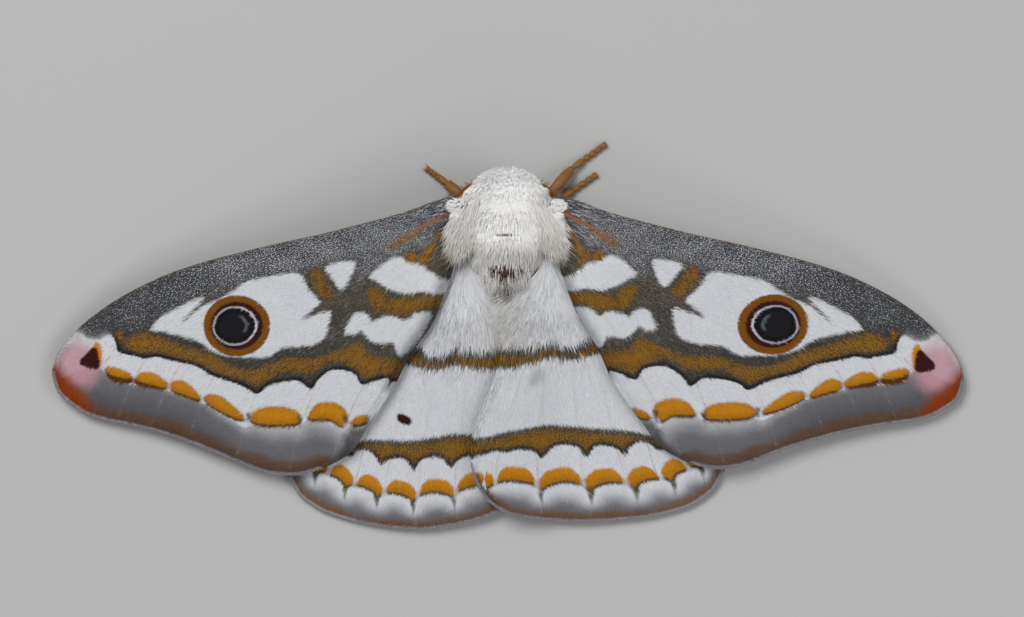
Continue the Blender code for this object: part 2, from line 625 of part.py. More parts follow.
def clear_tube(name, points, radii, collection):
    """A tube that is larger all round than the one given, and longer at its root."""
    back = (points[0] - points[1]).normalized() * GAP
    return make_tube(name, [points[0] + back] + points, [r + GAP for r in radii[:1] + radii], collection)


def feeler_line(side):
    """The feeler's centre line on one side."""
    return [Vector((side * p.x, p.y, p.z)) for p in smooth_path(FEELER_PATH, 1.0)]


def add_ray(root, way, length, collection):
    """One ray of a feeler's comb, as a cone from its root."""
    bm = bmesh.new()
    place = Matrix.Translation(root + way * length / 2) @ way.to_track_quat("Z", "Y").to_matrix().to_4x4()
    thick, thin = RAY_RADII
    bmesh.ops.create_cone(
        bm, cap_ends=True, segments=4, radius1=thick, radius2=thin, depth=length, matrix=place
    )
    place_mesh("ray", bm, collection)


def make_feeler(name, side, collection, material):
    """A feeler: a stem with a row of rays on either side, like a comb."""
    path = feeler_line(side)
    feeler = make_tube(name, path, [FEELER_RADIUS] * len(path), collection)
    rays = make_collection("rays")
    last = len(path) - 2
    for pair in range(RAY_PAIRS):
        wave = RAY_LENGTHS[0] + (RAY_LENGTHS[1] - RAY_LENGTHS[0]) * pair / (RAY_PAIRS - 1)
        length = RAY_LENGTH * math.sin(math.pi * wave)
        for turn in (-1, 1):
            spot = last * (RAY_START + (1.0 - RAY_START) * (pair + RAY_STAGGER * (turn > 0)) / RAY_PAIRS)
            index = int(spot)
            root = path[index].lerp(path[index + 1], spot - index)
            along = (path[index + 1] - path[index]).normalized()
            across = along.cross(Vector((0, 0, turn))).normalized()
            way = (across + along * RAY_SWEEP - Vector((0, 0, RAY_DROOP))).normalized()
            add_ray(root, way, length, rays)
    combine(feeler, rays, "UNION")
    remove_all(rays)
    finish(feeler, material)


def trim(target, nearest, farthest):
    """Cuts off what reaches out of a stretch of the body's axis."""
    for edge, turn in ((nearest, -1), (farthest, 1)):
        block = make_collection("block")
        bm = bmesh.new()
        bmesh.ops.create_cube(bm, size=BLOCK_SIZE)
        bmesh.ops.translate(bm, verts=bm.verts, vec=(0, edge + turn * BLOCK_SIZE / 2, 0))
        place_mesh("block", bm, block)
        combine(target, block, "DIFFERENCE")
        remove_all(block)


def make_head(cutters, dice, collection, material):
    """The head with its coat and two short palps."""
    head = make_trunk("head", BODY_STATIONS[0][0], NECK - GAP, HEAD_RINGS, collection)
    coat = make_collection("coat")
    coat_rows(HEAD_COAT, dice, coat)
    for side in (1, -1):
        path = [Vector((side * out, fore, up)) for out, fore, up in PALP_PATH]
        make_tube("palp", path, PALP_RADII, coat)
    combine(head, coat, "UNION")
    remove_all(coat)
    trim(head, NECK + GAP / 2, BODY_STATIONS[0][0] + LOCK_WIDTH)
    combine(head, cutters, "DIFFERENCE")
    finish(head, material)


def make_thorax(cutters, dice, collection, material):
    """The thorax with its coat, the tufts over the wing roots and the hair behind it."""
    thorax = make_trunk("thorax", NECK + GAP, WAIST + GAP / 2, THORAX_RINGS, collection)
    coat = make_collection("coat")
    coat_rows(THORAX_COAT, dice, coat)
    for side in (1, -1):
        loose_hair(REAR_HAIR, side, rear_hair_height, dice, coat)
        loose_hair(SHOULDER_HAIR, side, shoulder_hair_height, dice, coat)
    combine(thorax, coat, "UNION")
    remove_all(coat)
    trim(thorax, BODY_STATIONS[-1][0], NECK - GAP / 2)
    combine(thorax, cutters, "DIFFERENCE")
    finish(thorax, material)


def make_abdomen(cutters, dice, collection, material):
    """The abdomen with the brush at its tip."""
    back = BODY_STATIONS[-1][0]
    abdomen = make_trunk("abdomen", WAIST - GAP / 2, back, ABDOMEN_RINGS, collection, segment_swell)
    coat = make_collection("coat")
    coat_rows(ABDOMEN_COAT, dice, coat)
    combine(abdomen, coat, "UNION")
    remove_all(coat)
    combine(abdomen, cutters, "DIFFERENCE")
    finish(abdomen, material)


def wing_top(x, y):
    """Top of whichever hindwing lies uppermost."""
    return max(hindwing_height(side, x, y) for side in (1, -1)) + WING_DEPTH / 2


def rear_hair_height(x, y, along):
    """Height of the hair behind the thorax: it leaves the thorax's back and comes down onto the hindwings."""
    over_wing = wing_top(x, y) + GAP + LOCK_THICKNESS / 2 + HAIR_CLEARANCE
    return over_wing + HAIR_ARCH * math.sin(math.pi * along)


def shoulder_hair_height(x, y, along):
    """Height of the tufts over the forewings' roots: they rise out of the thorax and lie over the wing."""
    over_wing = forewing_height(x, y) + WING_DEPTH / 2 + GAP + LOCK_THICKNESS / 2 + HAIR_CLEARANCE
    return SHOULDER_ROOT + (over_wing - SHOULDER_ROOT) * smoothstep(along * LOCK_RINGS)


def add_wing_hair(wing, side, dice):
    """Long hair on a hindwing's inner part, rooted in the wing and lying along it."""
    coat = make_collection("coat")

    def height(x, y, along):
        return hindwing_height(side, x, y) + HAIR_CLEARANCE + HAIR_LIFT * smoothstep(along / HAIR_RISE)

    loose_hair(WING_HAIR, side, height, dice, coat)
    combine(wing, coat, "UNION")
    remove_all(coat)


def remove_all(collection):
    """Removes a collection and its objects."""
    for obj in list(collection.objects):
        bpy.data.objects.remove(obj)
    bpy.data.collections.remove(collection)


def main():
    clear_scene()
    moth = make_collection("marbled_emperor_moth")
    cutters = make_collection("cutters")
    paint = {name: make_material(name) for name in MATERIALS}
    clearances(cutters)
    dice = random.Random(COAT_SEED)
    make_head(cutters, dice, moth, paint["coat_white"])
    make_thorax(cutters, dice, moth, paint["coat_white"])
    make_abdomen(cutters, dice, moth, paint["coat_white"])
    remove_all(cutters)
    for side, word in SIDES:
        forewing = make_wing(f"forewing_{word}", side, FOREWING_OUTLINE, FOREWING_VEINS, forewing_height, moth)
        finish(forewing, paint["wing_scales"])
        height = partial(hindwing_height, side)
        hindwing = make_wing(f"hindwing_{word}", side, HINDWING_OUTLINE, HINDWING_VEINS, height, moth)
        add_wing_hair(hindwing, side, dice)
        finish(hindwing, paint["wing_scales"])
        make_feeler(f"feeler_{word}", side, moth, paint["feeler_rust"])
        centre = (side * EYE_CENTRE[0], EYE_CENTRE[1], EYE_CENTRE[2])
        eye = make_ball(f"eye_{word}", centre, EYE_RADIUS, 3, moth)
        finish(eye, paint["eye_dark"])
    for name, (side, joints) in LEGS.items():
        make_leg(name, side, joints, moth, paint["leg_ochre"])


main()
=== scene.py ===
"""A marbled emperor moth at rest, life size, as a museum shows it, with painted wings and a white coat.

The moth sits on the plane z = 0 with its head towards +Y. Shapes are worked out in millimetres and turned
into metres when a mesh is finished. A wing point is written as (outwards from the body's axis, forwards),
so one list of points serves both sides. Distances to the wings' markings are kept as attributes, in
millimetres and positive inside, and the skin of a wing and the scales on it read the same ones.
"""

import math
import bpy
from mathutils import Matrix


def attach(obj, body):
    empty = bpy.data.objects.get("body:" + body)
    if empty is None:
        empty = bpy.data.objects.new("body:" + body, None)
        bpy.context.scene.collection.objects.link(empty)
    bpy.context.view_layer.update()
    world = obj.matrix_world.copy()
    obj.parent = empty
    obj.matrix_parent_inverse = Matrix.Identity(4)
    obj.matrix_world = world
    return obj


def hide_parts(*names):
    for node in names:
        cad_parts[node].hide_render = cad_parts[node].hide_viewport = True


bl_info = {
    "name": "Marbled Emperor Moth",
    "version": (1, 0, 0),
    "blender": (4, 5, 0),
    "location": "3D View > Sidebar > Moth",
    "description": "Builds a life-size marbled emperor moth with painted wings, a white coat and ochre legs",
    "category": "Add Mesh",
}

import bmesh
import bpy
import numpy as np
from bpy.props import FloatProperty, FloatVectorProperty, IntProperty, PointerProperty
from mathutils import Vector

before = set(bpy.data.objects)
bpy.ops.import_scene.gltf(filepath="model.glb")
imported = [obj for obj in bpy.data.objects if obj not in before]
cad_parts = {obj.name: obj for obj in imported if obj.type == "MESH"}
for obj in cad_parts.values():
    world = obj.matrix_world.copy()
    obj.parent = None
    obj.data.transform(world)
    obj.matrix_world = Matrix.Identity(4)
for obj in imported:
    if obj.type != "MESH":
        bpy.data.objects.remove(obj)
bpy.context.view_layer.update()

MM = 0.001
SIDES = ((1, "right"), (-1, "left"))

# How the wings lie, as in the solids
LAYER = 1.18
ROOT_HEIGHT = 7.6
TIP_HEIGHT = 1.0
WING_REACH = 47.0
RIDGE_ROUNDING = 2.0
FALL_POWER = 1.5
REAR_DROP = 0.8
DROP_STARTS = 3.0
DROP_LENGTH = 23.0
CROSSING_WIDTH = 6.0
BACK_DIP = 0.55
BACK_DIP_WIDTH = 3.0
BACK_DIP_LENGTH = 8.0

# Where the right wings lie differently: centre, shift, spread. The left wings take the opposite shift.
SIDE_SHIFTS = [
    ((46.0, -5.0), (0.15, -0.35), 4.0),
    ((26.5, -12.5), (0.0, 0.45), 5.0),
    ((11.0, -5.0), (-0.3, 0.0), 4.5),
    ((12.0, -19.5), (0.0, 0.28), 6.5),
    ((2.5, -14.0), (-1.1, 0.0), 5.0),
    ((8.0, -11.5), (0.0, 0.55), 4.5),
    ((6.5, -2.0), (0.0, 0.35), 3.5),
    ((27.0, 1.0), (-0.15, 0.0), 3.5),
]

# Where the right wings' markings alone lie elsewhere than the left ones' do: centre, shift, spread
MARK_SHIFTS = [
    ((13.0, 1.0), (-0.85, 0.35), 6.0),
    ((20.0, -9.5), (-1.0, 0.0), 7.0),
    ((27.0, 1.0), (0.25, 0.1), 3.5),
    ((19.0, -16.5), (1.5, 0.0), 4.5),
]

# Edges of the wings, from the root outwards and from the leading edge to the rear
FOREWING_EDGES = {
    "lead": [
        (3.9, 12.7), (5.0, 13.75), (6.65, 13.45), (10.65, 12.1), (14.65, 11.05), (18.65, 10.05),
        (22.65, 9.2), (26.65, 8.25), (30.65, 7.2), (34.65, 5.8), (38.65, 3.8), (41.65, 1.75),
        (43.65, -0.15), (45.05, -1.95), (45.8, -4.2),
    ],
    "margin": [
        (45.8, -4.2), (45.4, -5.6), (44.7, -6.6), (42.65, -7.95), (40.65, -8.6), (36.65, -9.3),
        (32.65, -10.3), (28.65, -11.65), (24.65, -13.2), (22.65, -13.65), (20.65, -13.7),
        (18.65, -13.2),
    ],
    "rear": [
        (3.9, 9.6), (5.0, 7.4), (6.1, 4.3), (7.4, 1.3), (9.4, -1.8), (10.8, -4.7), (12.4, -7.2),
        (14.0, -9.4), (15.2, -11.2), (16.65, -12.25), (18.65, -13.2),
    ],
    "root": [(3.9, 12.7), (3.9, 9.6)],
}
HINDWING_EDGES = {
    "lead": [
        (4.6, 8.4), (7.0, 6.5), (12.0, 1.5), (17.0, -5.0), (20.5, -10.5), (21.95, -13.85),
    ],
    "margin": [
        (21.95, -13.85), (21.4, -14.9), (20.7, -15.95), (19.15, -17.1), (17.65, -17.8), (14.65, -18.6),
        (10.65, -19.1), (7.65, -19.2), (5.65, -19.0), (3.65, -18.75), (1.65, -18.3), (0.3, -17.75),
        (-1.1, -16.7), (-2.3, -15.0), (-3.0, -13.0),
    ],
    "rear": [
        (3.2, 6.3), (2.3, 5.2), (0.8, 4.8), (0.0, 3.4), (-0.2, 1.5), (-0.5, -1.0), (-0.9, -3.5),
        (-1.7, -6.0), (-2.75, -9.0), (-3.05, -11.0), (-3.0, -13.0),
    ],
    "root": [(4.6, 8.4), (3.7, 7.6), (3.2, 6.3)],
}
FOREWING_VEINS = {
    "subcosta": [(5.6, 12.9), (10.65, 11.2), (18.65, 9.1), (26.65, 7.2), (30.3, 6.6)],
    "radius": [
        (5.2, 12.3), (6.85, 11.5), (8.65, 10.65), (10.4, 9.85), (12.5, 8.95), (16.5, 7.75), (20.65, 6.7),
        (24.4, 5.5), (27.15, 4.3),
    ],
    "radius_upper": [(20.65, 6.7), (26.65, 5.9), (32.65, 4.6), (37.65, 2.5), (42.3, -0.3)],
    "radius_lower": [(27.15, 4.3), (31.0, 3.4), (35.65, 0.9), (38.9, -1.1), (41.1, -4.3), (42.5, -6.9)],
    "media_1": [(29.0, 3.9), (31.65, 2.3), (33.65, 0.5), (36.05, -2.3), (37.6, -5.0), (38.9, -8.0)],
    "media_2": [(28.5, 0.9), (30.6, -0.9), (32.45, -2.7), (34.35, -6.0), (35.4, -8.7)],
    "media_3": [(26.9, -1.5), (28.4, -2.9), (30.15, -5.7), (31.45, -9.0), (31.7, -9.9)],
    "cubitus_1": [(24.3, -0.9), (24.45, -3.5), (25.4, -6.6), (26.35, -9.0), (27.0, -11.6)],
    "cubitus_2": [(18.6, 2.9), (18.3, -1.0), (19.2, -5.4), (20.6, -9.0), (21.7, -13.0)],
    "anal": [
        (5.3, 10.0), (6.65, 7.3), (8.65, 3.5), (11.65, -1.0), (14.45, -5.7), (16.65, -10.0), (17.2, -11.8),
    ],
    "cubital_stem": [
        (5.2, 11.3), (8.2, 8.2), (11.65, 5.2), (15.5, 3.6), (18.6, 2.9), (21.6, 0.9), (26.9, -1.5),
    ],
}
HINDWING_VEINS = {
    "anal": [(4.2, 6.6), (2.6, 0.0), (0.9, -7.0), (0.0, -13.0), (-0.3, -16.6)],
    "cubitus_2": [(4.3, 6.4), (3.9, -1.0), (3.8, -8.0), (4.2, -18.1)],
    "cubitus_1": [(4.5, 6.3), (5.6, 0.0), (7.2, -7.0), (8.8, -18.6)],
    "media_3": [(4.7, 6.5), (7.6, -0.5), (10.2, -7.0), (12.8, -18.3)],
    "media_2": [(4.9, 6.7), (9.2, -0.5), (12.9, -7.5), (16.1, -17.6)],
    "media_1": [(5.2, 7.0), (10.6, 0.6), (15.4, -7.0), (18.9, -16.4)],
    "radius": [(5.4, 7.2), (11.6, 1.2), (16.8, -5.6), (21.0, -13.7)],
}

# Markings of the forewing, as outlines
EYESPOT = (26.85, 0.95)
FOREWING_WHITES = {
    "basal": [
        (13.6, 5.8), (12.1, 7.2), (10.7, 7.8), (9.6, 7.2), (8.4, 7.0), (7.0, 6.0), (5.2, 5.3), (5.3, 4.4),
        (7.1, 4.2), (8.3, 4.4), (10.1, 4.2), (11.8, 4.7), (12.9, 5.4),
    ],
    "lobes": [
        (16.0, 0.3), (15.7, 1.2), (15.1, 2.1), (14.4, 2.3), (13.7, 2.0), (13.2, 1.4), (12.7, 1.7),
        (11.3, 2.0), (10.0, 1.6), (8.9, 2.3), (7.4, 2.4), (7.8, 1.2), (8.9, -0.6), (10.2, -1.8),
        (10.8, -1.2), (11.1, -0.6), (12.8, -0.7), (13.8, -0.1), (14.3, 0.5), (15.1, 0.1),
    ],
    "triangle": [(18.0, 6.7), (17.1, 7.2), (15.1, 7.3), (15.3, 6.2), (16.0, 4.9), (16.6, 4.6), (17.6, 6.0)],
    "cell": [
        (34.3, 0.4), (32.5, 1.2), (30.4, 2.8), (28.5, 3.6), (27.4, 4.3), (25.7, 5.4), (23.7, 5.8),
        (21.3, 6.2), (20.4, 5.9), (19.7, 4.6), (18.8, 3.6), (18.6, 3.1), (19.2, 2.6), (20.4, 1.6),
        (19.4, 1.9), (17.6, 2.4), (17.6, 1.3), (18.0, -0.1), (18.9, -0.8), (20.4, -1.1), (22.3, -1.3),
        (23.7, -2.1), (25.0, -2.2), (27.0, -2.1), (29.0, -1.7), (30.6, -0.7), (32.5, -0.1),
    ],
    "wedge": [
        (35.6, 0.5), (34.7, 1.7), (33.3, 2.5), (31.0, 3.6), (30.2, 3.8), (30.8, 3.0), (32.2, 1.6),
        (33.3, 0.7), (34.3, 0.4),
    ],
}
FOREWING_OCHRES = {
    "basal_band": [
        (13.9, 4.4), (13.1, 4.8), (12.2, 4.4), (11.5, 3.7), (9.9, 3.9), (7.5, 4.0), (5.9, 3.9), (6.0, 3.0),
        (8.3, 2.7), (9.9, 2.1), (11.8, 2.2), (12.9, 2.3), (13.6, 3.3),
    ],
    "cell_bar": [
        (19.6, 6.5), (18.9, 6.7), (18.2, 6.1), (17.6, 5.0), (17.1, 4.0), (17.6, 3.6), (18.4, 3.9),
        (19.2, 4.8),
    ],
    "band": [
        (38.4, -0.8), (37.4, 0.0), (36.0, 0.25), (34.1, -0.3), (31.8, -1.1), (29.5, -1.8), (27.4, -2.9),
        (25.5, -3.3), (24.0, -2.9), (22.0, -2.2), (19.1, -2.2), (17.0, -1.5), (14.6, -0.6), (13.5, -1.5),
        (12.2, -2.0), (10.4, -2.1), (9.9, -3.0), (10.9, -4.1), (12.1, -3.7), (13.6, -4.2), (14.6, -3.7),
        (16.2, -2.8), (17.5, -2.7), (19.4, -3.7), (22.4, -3.7), (23.9, -4.5), (24.9, -5.0), (26.0, -4.6),
        (28.9, -3.7), (31.6, -2.7), (34.5, -1.9), (37.1, -1.8),
    ],
    "streak": [
        (6.2, 10.5), (6.6, 10.4), (7.4, 9.0), (8.6, 7.9), (8.7, 7.3), (7.9, 7.2), (7.4, 6.9), (7.4, 7.9),
        (6.9, 8.9),
    ],
    "patch": [(10.2, 7.9), (9.4, 8.3), (8.9, 7.9), (9.1, 7.2), (10.0, 7.4)],
    "under_vein": [(11.6, 8.9), (9.6, 9.9), (8.2, 10.6), (8.4, 10.2), (9.6, 9.5), (11.2, 8.6)],
    "apical_dot": [(39.5, 0.1), (38.7, 0.6), (38.4, 0.2), (38.6, -0.5), (39.3, -0.9)],
}
BEYOND_LINE = [
    (43.4, 0.4), (42.3, -0.3), (41.1, -0.5), (40.0, 0.0), (39.4, -0.3), (39.1, -1.2), (38.9, -1.8),
    (37.5, -2.1), (36.2, -2.4), (35.2, -2.2), (33.3, -2.6), (31.0, -3.1), (29.6, -3.9), (28.0, -4.4),
    (26.3, -5.0), (24.9, -5.7), (23.9, -5.0), (22.4, -4.6), (20.7, -4.5), (19.5, -5.3), (18.6, -4.3),
    (17.4, -3.5), (16.2, -3.4), (14.9, -3.8), (14.2, -4.8), (12.9, -4.4), (11.4, -4.1), (11.6, -5.2),
    (10.6, -4.4), (8.0, -8.0), (8.0, -22.0), (52.0, -22.0), (52.0, 4.0),
]
LUNULES = {
    "first": [
        (40.4, -3.75), (40.2, -3.3), (39.5, -3.25), (38.5, -3.5), (37.6, -3.95), (37.4, -4.5),
        (37.6, -4.95), (38.6, -5.0), (39.7, -4.75), (40.3, -4.2),
    ],
    "second": [
        (37.4, -4.5), (36.9, -3.95), (36.3, -3.7), (35.4, -3.75), (34.2, -4.45), (33.8, -5.0),
        (34.0, -5.55), (35.5, -5.4), (37.1, -5.1),
    ],
    "third": [
        (33.7, -5.0), (33.2, -4.5), (32.2, -4.55), (31.0, -5.5), (30.6, -6.1), (30.8, -6.6), (32.3, -6.15),
        (33.4, -5.75),
    ],
    "fourth": [
        (30.3, -6.2), (29.85, -5.75), (28.6, -5.9), (27.1, -7.0), (26.2, -7.9), (26.3, -8.4), (27.85, -8.0),
        (29.75, -7.0),
    ],
    "fifth": [
        (25.65, -8.4), (25.5, -7.6), (24.8, -7.1), (23.2, -6.9), (21.6, -7.1), (20.6, -7.7), (20.5, -8.5),
        (21.2, -8.9), (24.4, -8.9),
    ],
    "sixth": [
        (19.8, -8.4), (19.4, -7.2), (18.5, -6.6), (17.0, -6.6), (15.8, -7.4), (15.7, -8.6), (16.4, -9.1),
        (17.6, -8.5),
    ],
    "seventh": [(15.4, -8.6), (14.8, -7.9), (13.5, -7.7), (13.7, -8.6), (14.8, -9.0)],
}
ZONE_LINE = [
    (41.0, -3.7), (40.2, -4.7), (39.1, -5.1), (37.6, -5.3), (36.0, -5.5), (34.2, -5.8), (32.7, -6.3),
    (30.6, -6.9), (29.1, -7.8), (27.6, -8.5), (26.3, -9.2), (25.3, -9.0), (23.2, -9.1), (21.6, -9.1),
    (20.8, -9.2), (20.1, -8.8), (19.1, -8.6), (17.4, -9.0), (16.2, -9.8), (15.4, -10.6), (13.0, -12.5),
    (13.0, -22.0), (52.0, -22.0), (52.0, -7.0), (45.5, -5.2), (43.6, -4.5), (42.2, -3.9),
]
PEPPER = [
    (42.9, 0.3), (41.3, -0.3), (40.0, 0.3), (38.3, 0.9), (36.4, 0.6), (34.5, 1.9), (32.2, 3.2), (30.4, 4.0),
    (28.5, 4.2), (26.8, 5.1), (23.7, 5.9), (20.7, 6.4), (18.2, 7.1), (15.1, 7.3), (14.6, 5.6), (13.4, 6.3),
    (12.1, 7.4), (9.5, 8.4), (7.1, 9.8), (5.6, 11.6), (3.0, 15.0), (8.0, 16.0), (30.0, 11.0), (48.0, 2.0),
]
MAROONS = {"apical": [(43.0, -3.0), (42.3, -2.1), (41.3, -1.3), (40.9, -2.2), (40.9, -3.5), (42.1, -3.5)]}
APICAL_EDGE = [(41.6, -1.7), (41.2, -0.8), (40.7, -1.2), (40.6, -2.6), (40.8, -3.4), (41.2, -2.4)]
APEX_ORANGE = [
    (46.6, -3.2), (45.3, -3.3), (44.5, -4.1), (43.4, -5.2), (42.5, -5.9), (41.8, -7.4), (41.0, -9.5),
    (48.0, -9.0),
]
PINK_CENTRE = (43.1, -3.2)
FOREWING_CUSPS = [(15.9, -8.1), (20.6, -8.2), (25.8, -7.8)]  # tips between the half moons
DUSK = [
    (15.4, -8.9), (16.2, -9.9), (16.4, -11.2), (17.4, -13.5), (13.0, -12.0), (11.5, -7.5), (13.1, -8.0),
    (14.3, -8.9),
]

# Markings of the hindwing
MEDIAN_BAND = [
    (-3.0, -0.9), (0.0, -1.0), (2.8, -1.2), (4.4, -0.9), (5.1, -0.7), (6.3, -1.6), (7.4, -1.7),
    (8.2, -1.1), (10.0, -0.4), (12.5, 0.2), (17.0, 1.2), (17.0, -1.0), (12.5, -2.0), (10.0, -2.5),
    (8.2, -2.9), (6.6, -3.0), (5.0, -2.6), (3.5, -2.8), (1.5, -3.2), (0.0, -3.3), (-3.0, -3.3),
]
POSTMEDIAN_BAND = [
    (-4.5, -10.4), (-1.5, -10.2), (0.5, -9.8), (2.5, -9.6), (4.6, -9.4), (6.5, -9.6), (8.8, -9.9),
    (11.0, -10.0), (13.5, -10.1), (15.4, -10.4), (18.0, -10.0), (23.0, -9.4), (23.0, -10.8),
    (18.0, -11.3), (15.6, -11.9), (14.9, -11.3), (13.8, -11.2), (12.9, -11.8), (12.4, -12.6),
    (11.6, -12.0), (10.6, -11.7), (9.6, -11.9), (8.8, -12.9), (8.0, -12.0), (6.8, -11.6), (5.6, -11.8),
    (4.6, -12.8), (3.8, -12.1), (2.3, -11.7), (1.0, -11.9), (-0.2, -11.7), (-2.0, -12.1), (-4.5, -12.4),
]
SCALLOP_LINE = [
    (-4.5, -14.6), (-1.6, -15.2), (-1.2, -15.9), (-0.6, -15.3), (1.0, -14.9), (3.0, -15.2), (3.9, -15.6),
    (4.35, -16.4), (4.9, -15.8), (6.6, -15.4), (8.3, -15.8), (8.95, -16.7), (9.5, -15.9), (10.8, -15.5),
    (12.2, -15.6), (12.9, -16.2), (13.4, -15.4), (14.4, -15.0), (15.6, -14.9), (16.2, -15.4), (16.6, -14.5),
    (17.7, -13.9), (18.6, -13.6), (19.2, -14.0), (20.0, -13.0), (24.0, -12.0), (24.0, -22.0), (-4.5, -22.0),
]
HINDWING_CUSPS = [(-1.2, -15.9), (4.35, -16.4), (8.95, -16.7), (12.9, -16.2), (16.2, -15.4), (19.2, -14.0)]
# On the left hindwing
CELL_SPOT = [(10.5, -7.4), (9.7, -7.5), (9.0, -8.0), (9.2, -8.4), (9.9, -8.4), (10.5, -8.0)]
# On the right hindwing
BARE_PATCH = [(3.1, -3.7), (4.0, -3.8), (4.1, -4.8), (3.5, -5.2), (2.6, -5.1)]
TORNAL_MOON = [(-2.5, -14.0), (-2.0, -13.75), (-1.5, -14.0), (-1.4, -14.7), (-2.1, -14.9)]
TORNUS = (0.3, -13.6)  # inwards and to the rear of this the hindwing's edge is dark

# Marks of the back, in the body's own x and y
BACK_MARKS = {
    "upper": [
        (-1.75, 6.35), (-0.8, 6.7), (0.4, 6.75), (1.8, 6.45), (1.4, 5.95), (0.9, 5.8), (0.7, 5.1),
        (0.2, 5.6), (-0.3, 5.1), (-0.7, 5.7), (-1.2, 5.9),
    ],
    "lower": [(-0.9, 4.1), (0.1, 4.25), (0.85, 4.0), (0.5, 3.4), (0.0, 3.1), (-0.4, 3.4)],
}
FAR = -20.0  # a distance far outside a marking
BELLY_HEIGHT = 3.5  # below this the body shows no mark of the back
BACK_LINES = [(9.92, 0.13, 1.0), (6.35, 0.36, 1.75)]  # narrow dark lines, one a painted shadow in the furrow across the thorax and one along the back's upper mark: forwards, half length, half width
BACK_BOX = (2.4, 2.4, 10.6)  # the marks' farthest place aside, rearmost and foremost


class MothSizes(bpy.types.PropertyGroup):
    """Sizes of the moth and of the stage."""

    wing_wall: FloatProperty(
        name="Wing thickness",
        description="Thickness of a wing between its veins",
        default=0.0004,
        unit="LENGTH",
    )
    coat_length: FloatProperty(
        name="Coat length",
        description="Length of the hair as a share of the usual",
        default=1.0,
        min=0.2,
        max=2.0,
    )
    camera_height: FloatProperty(
        name="Camera height",
        description="Height of the camera above the floor",
        default=0.572,
        unit="LENGTH",
    )
    lens: FloatProperty(name="Lens", description="Focal length in millimetres", default=200.0)
    seed: IntProperty(name="Seed", description="Number that sets every random draw", default=7)


def colour(name, description, value):
    """A colour property."""
    return FloatVectorProperty(
        name=name,
        description=description,
        default=value,
        subtype="COLOR",
        min=0,
        max=1,
    )


class MothColours(bpy.types.PropertyGroup):
    """Colours of the moth and of the stage."""

    white: colour("White", "White fields of the wings", (0.42, 0.43, 0.455))
    fur: colour("Fur", "Coat of the body", (0.98, 0.975, 0.965))
    beige: colour("Beige", "Shaded parts of the coat", (0.42, 0.395, 0.36))
    down: colour("Down", "Hair of the hindwings along the body", (0.46, 0.445, 0.42))
    smoke: colour("Smoke", "Dark grey between the fields", (0.027, 0.025, 0.021))
    olive: colour("Olive", "Olive brown tinge of the dark parts", (0.045, 0.034, 0.014))
    graphite: colour("Graphite", "Dark scales along the leading edge", (0.032, 0.033, 0.036))
    pepper_light: colour("Light pepper", "Light scales along the leading edge", (0.40, 0.40, 0.42))
    ochre: colour("Ochre", "Bands of the wings", (0.175, 0.082, 0.004))
    orange: colour("Orange", "Half moons of the wings", (0.40, 0.155, 0.004))
    lilac: colour("Lilac grey", "Outer zone of the wings", (0.095, 0.092, 0.100))
    rim: colour("Rim", "Brown line inside the margin", (0.165, 0.080, 0.032))
    ring: colour("Ring", "Outer ring of the eye spots", (0.120, 0.034, 0.002))
    lilac_ring: colour("Lilac ring", "Thin pale ring of the eye spots", (0.34, 0.31, 0.35))
    maroon: colour("Maroon", "Inner ring of the eye spots and small marks", (0.024, 0.003, 0.003))
    black: colour("Black", "Disc of the eye spots", (0.003, 0.003, 0.004))
    glint: colour("Glint", "Grey crescent on the eye spots", (0.075, 0.083, 0.10))
    pink: colour("Pink", "Blush at the forewing's tip", (0.37, 0.20, 0.235))
    apex: colour("Apex", "Orange of the forewing's tip", (0.17, 0.027, 0.003))
    vein: colour("Vein", "Rust brown veins", (0.23, 0.085, 0.035))
    leg: colour("Leg", "Ochre legs", (0.29, 0.125, 0.022))
    leg_dark: colour("Dark leg", "Darker hair of the legs", (0.085, 0.033, 0.007))
    feeler: colour("Feeler", "Rust feelers", (0.19, 0.070, 0.018))
    mark: colour("Mark", "Dark brown marks of the back", (0.045, 0.018, 0.013))
    eye: colour("Eye", "Eyes", (0.03, 0.018, 0.012))
    floor: colour("Floor", "Plain floor", (0.36, 0.36, 0.355))


def sizes():
    """The sizes in force."""
    return bpy.context.scene.moth_sizes


def colours():
    """The colours in force."""
    return bpy.context.scene.moth_colours


def smoothstep(value):
    """0 below 0, 1 above 1 and an even rise between."""
    value = np.clip(value, 0.0, 1.0)
    return value * value * (3.0 - 2.0 * value)


def smooth_line(points, step=0.25, closed=False):
    """Points about one step apart on a Catmull-Rom curve through the given ones."""
    knots = np.array(points, float)
    if closed:
        knots = np.concatenate([knots[-1:], knots, knots[:2]])
    else:
        knots = np.concatenate([2 * knots[:1] - knots[1:2], knots, 2 * knots[-1:] - knots[-2:-1]])
    pieces = []
    for before, start, end, after in zip(knots, knots[1:], knots[2:], knots[3:]):
        count = max(1, round(float(np.linalg.norm(end - start)) / step))
        u = (np.arange(count) / count)[:, None]
        pieces.append(
            0.5
            * (
                2 * start
                + (end - before) * u
                + (2 * before - 5 * start + 4 * end - after) * u**2
                + (3 * start - before - 3 * end + after) * u**3
            )
        )
    if not closed:
        pieces.append(knots[-2:-1])
    return np.concatenate(pieces)


def along(line, shares):
    """Points of a line at shares of its length."""
    lengths = np.concatenate([[0.0], np.cumsum(np.linalg.norm(np.diff(line, axis=0), axis=1))])
    spots = np.asarray(shares) * lengths[-1]
    return np.stack([np.interp(spots, lengths, line[:, axis]) for axis in range(line.shape[1])], axis=-1)


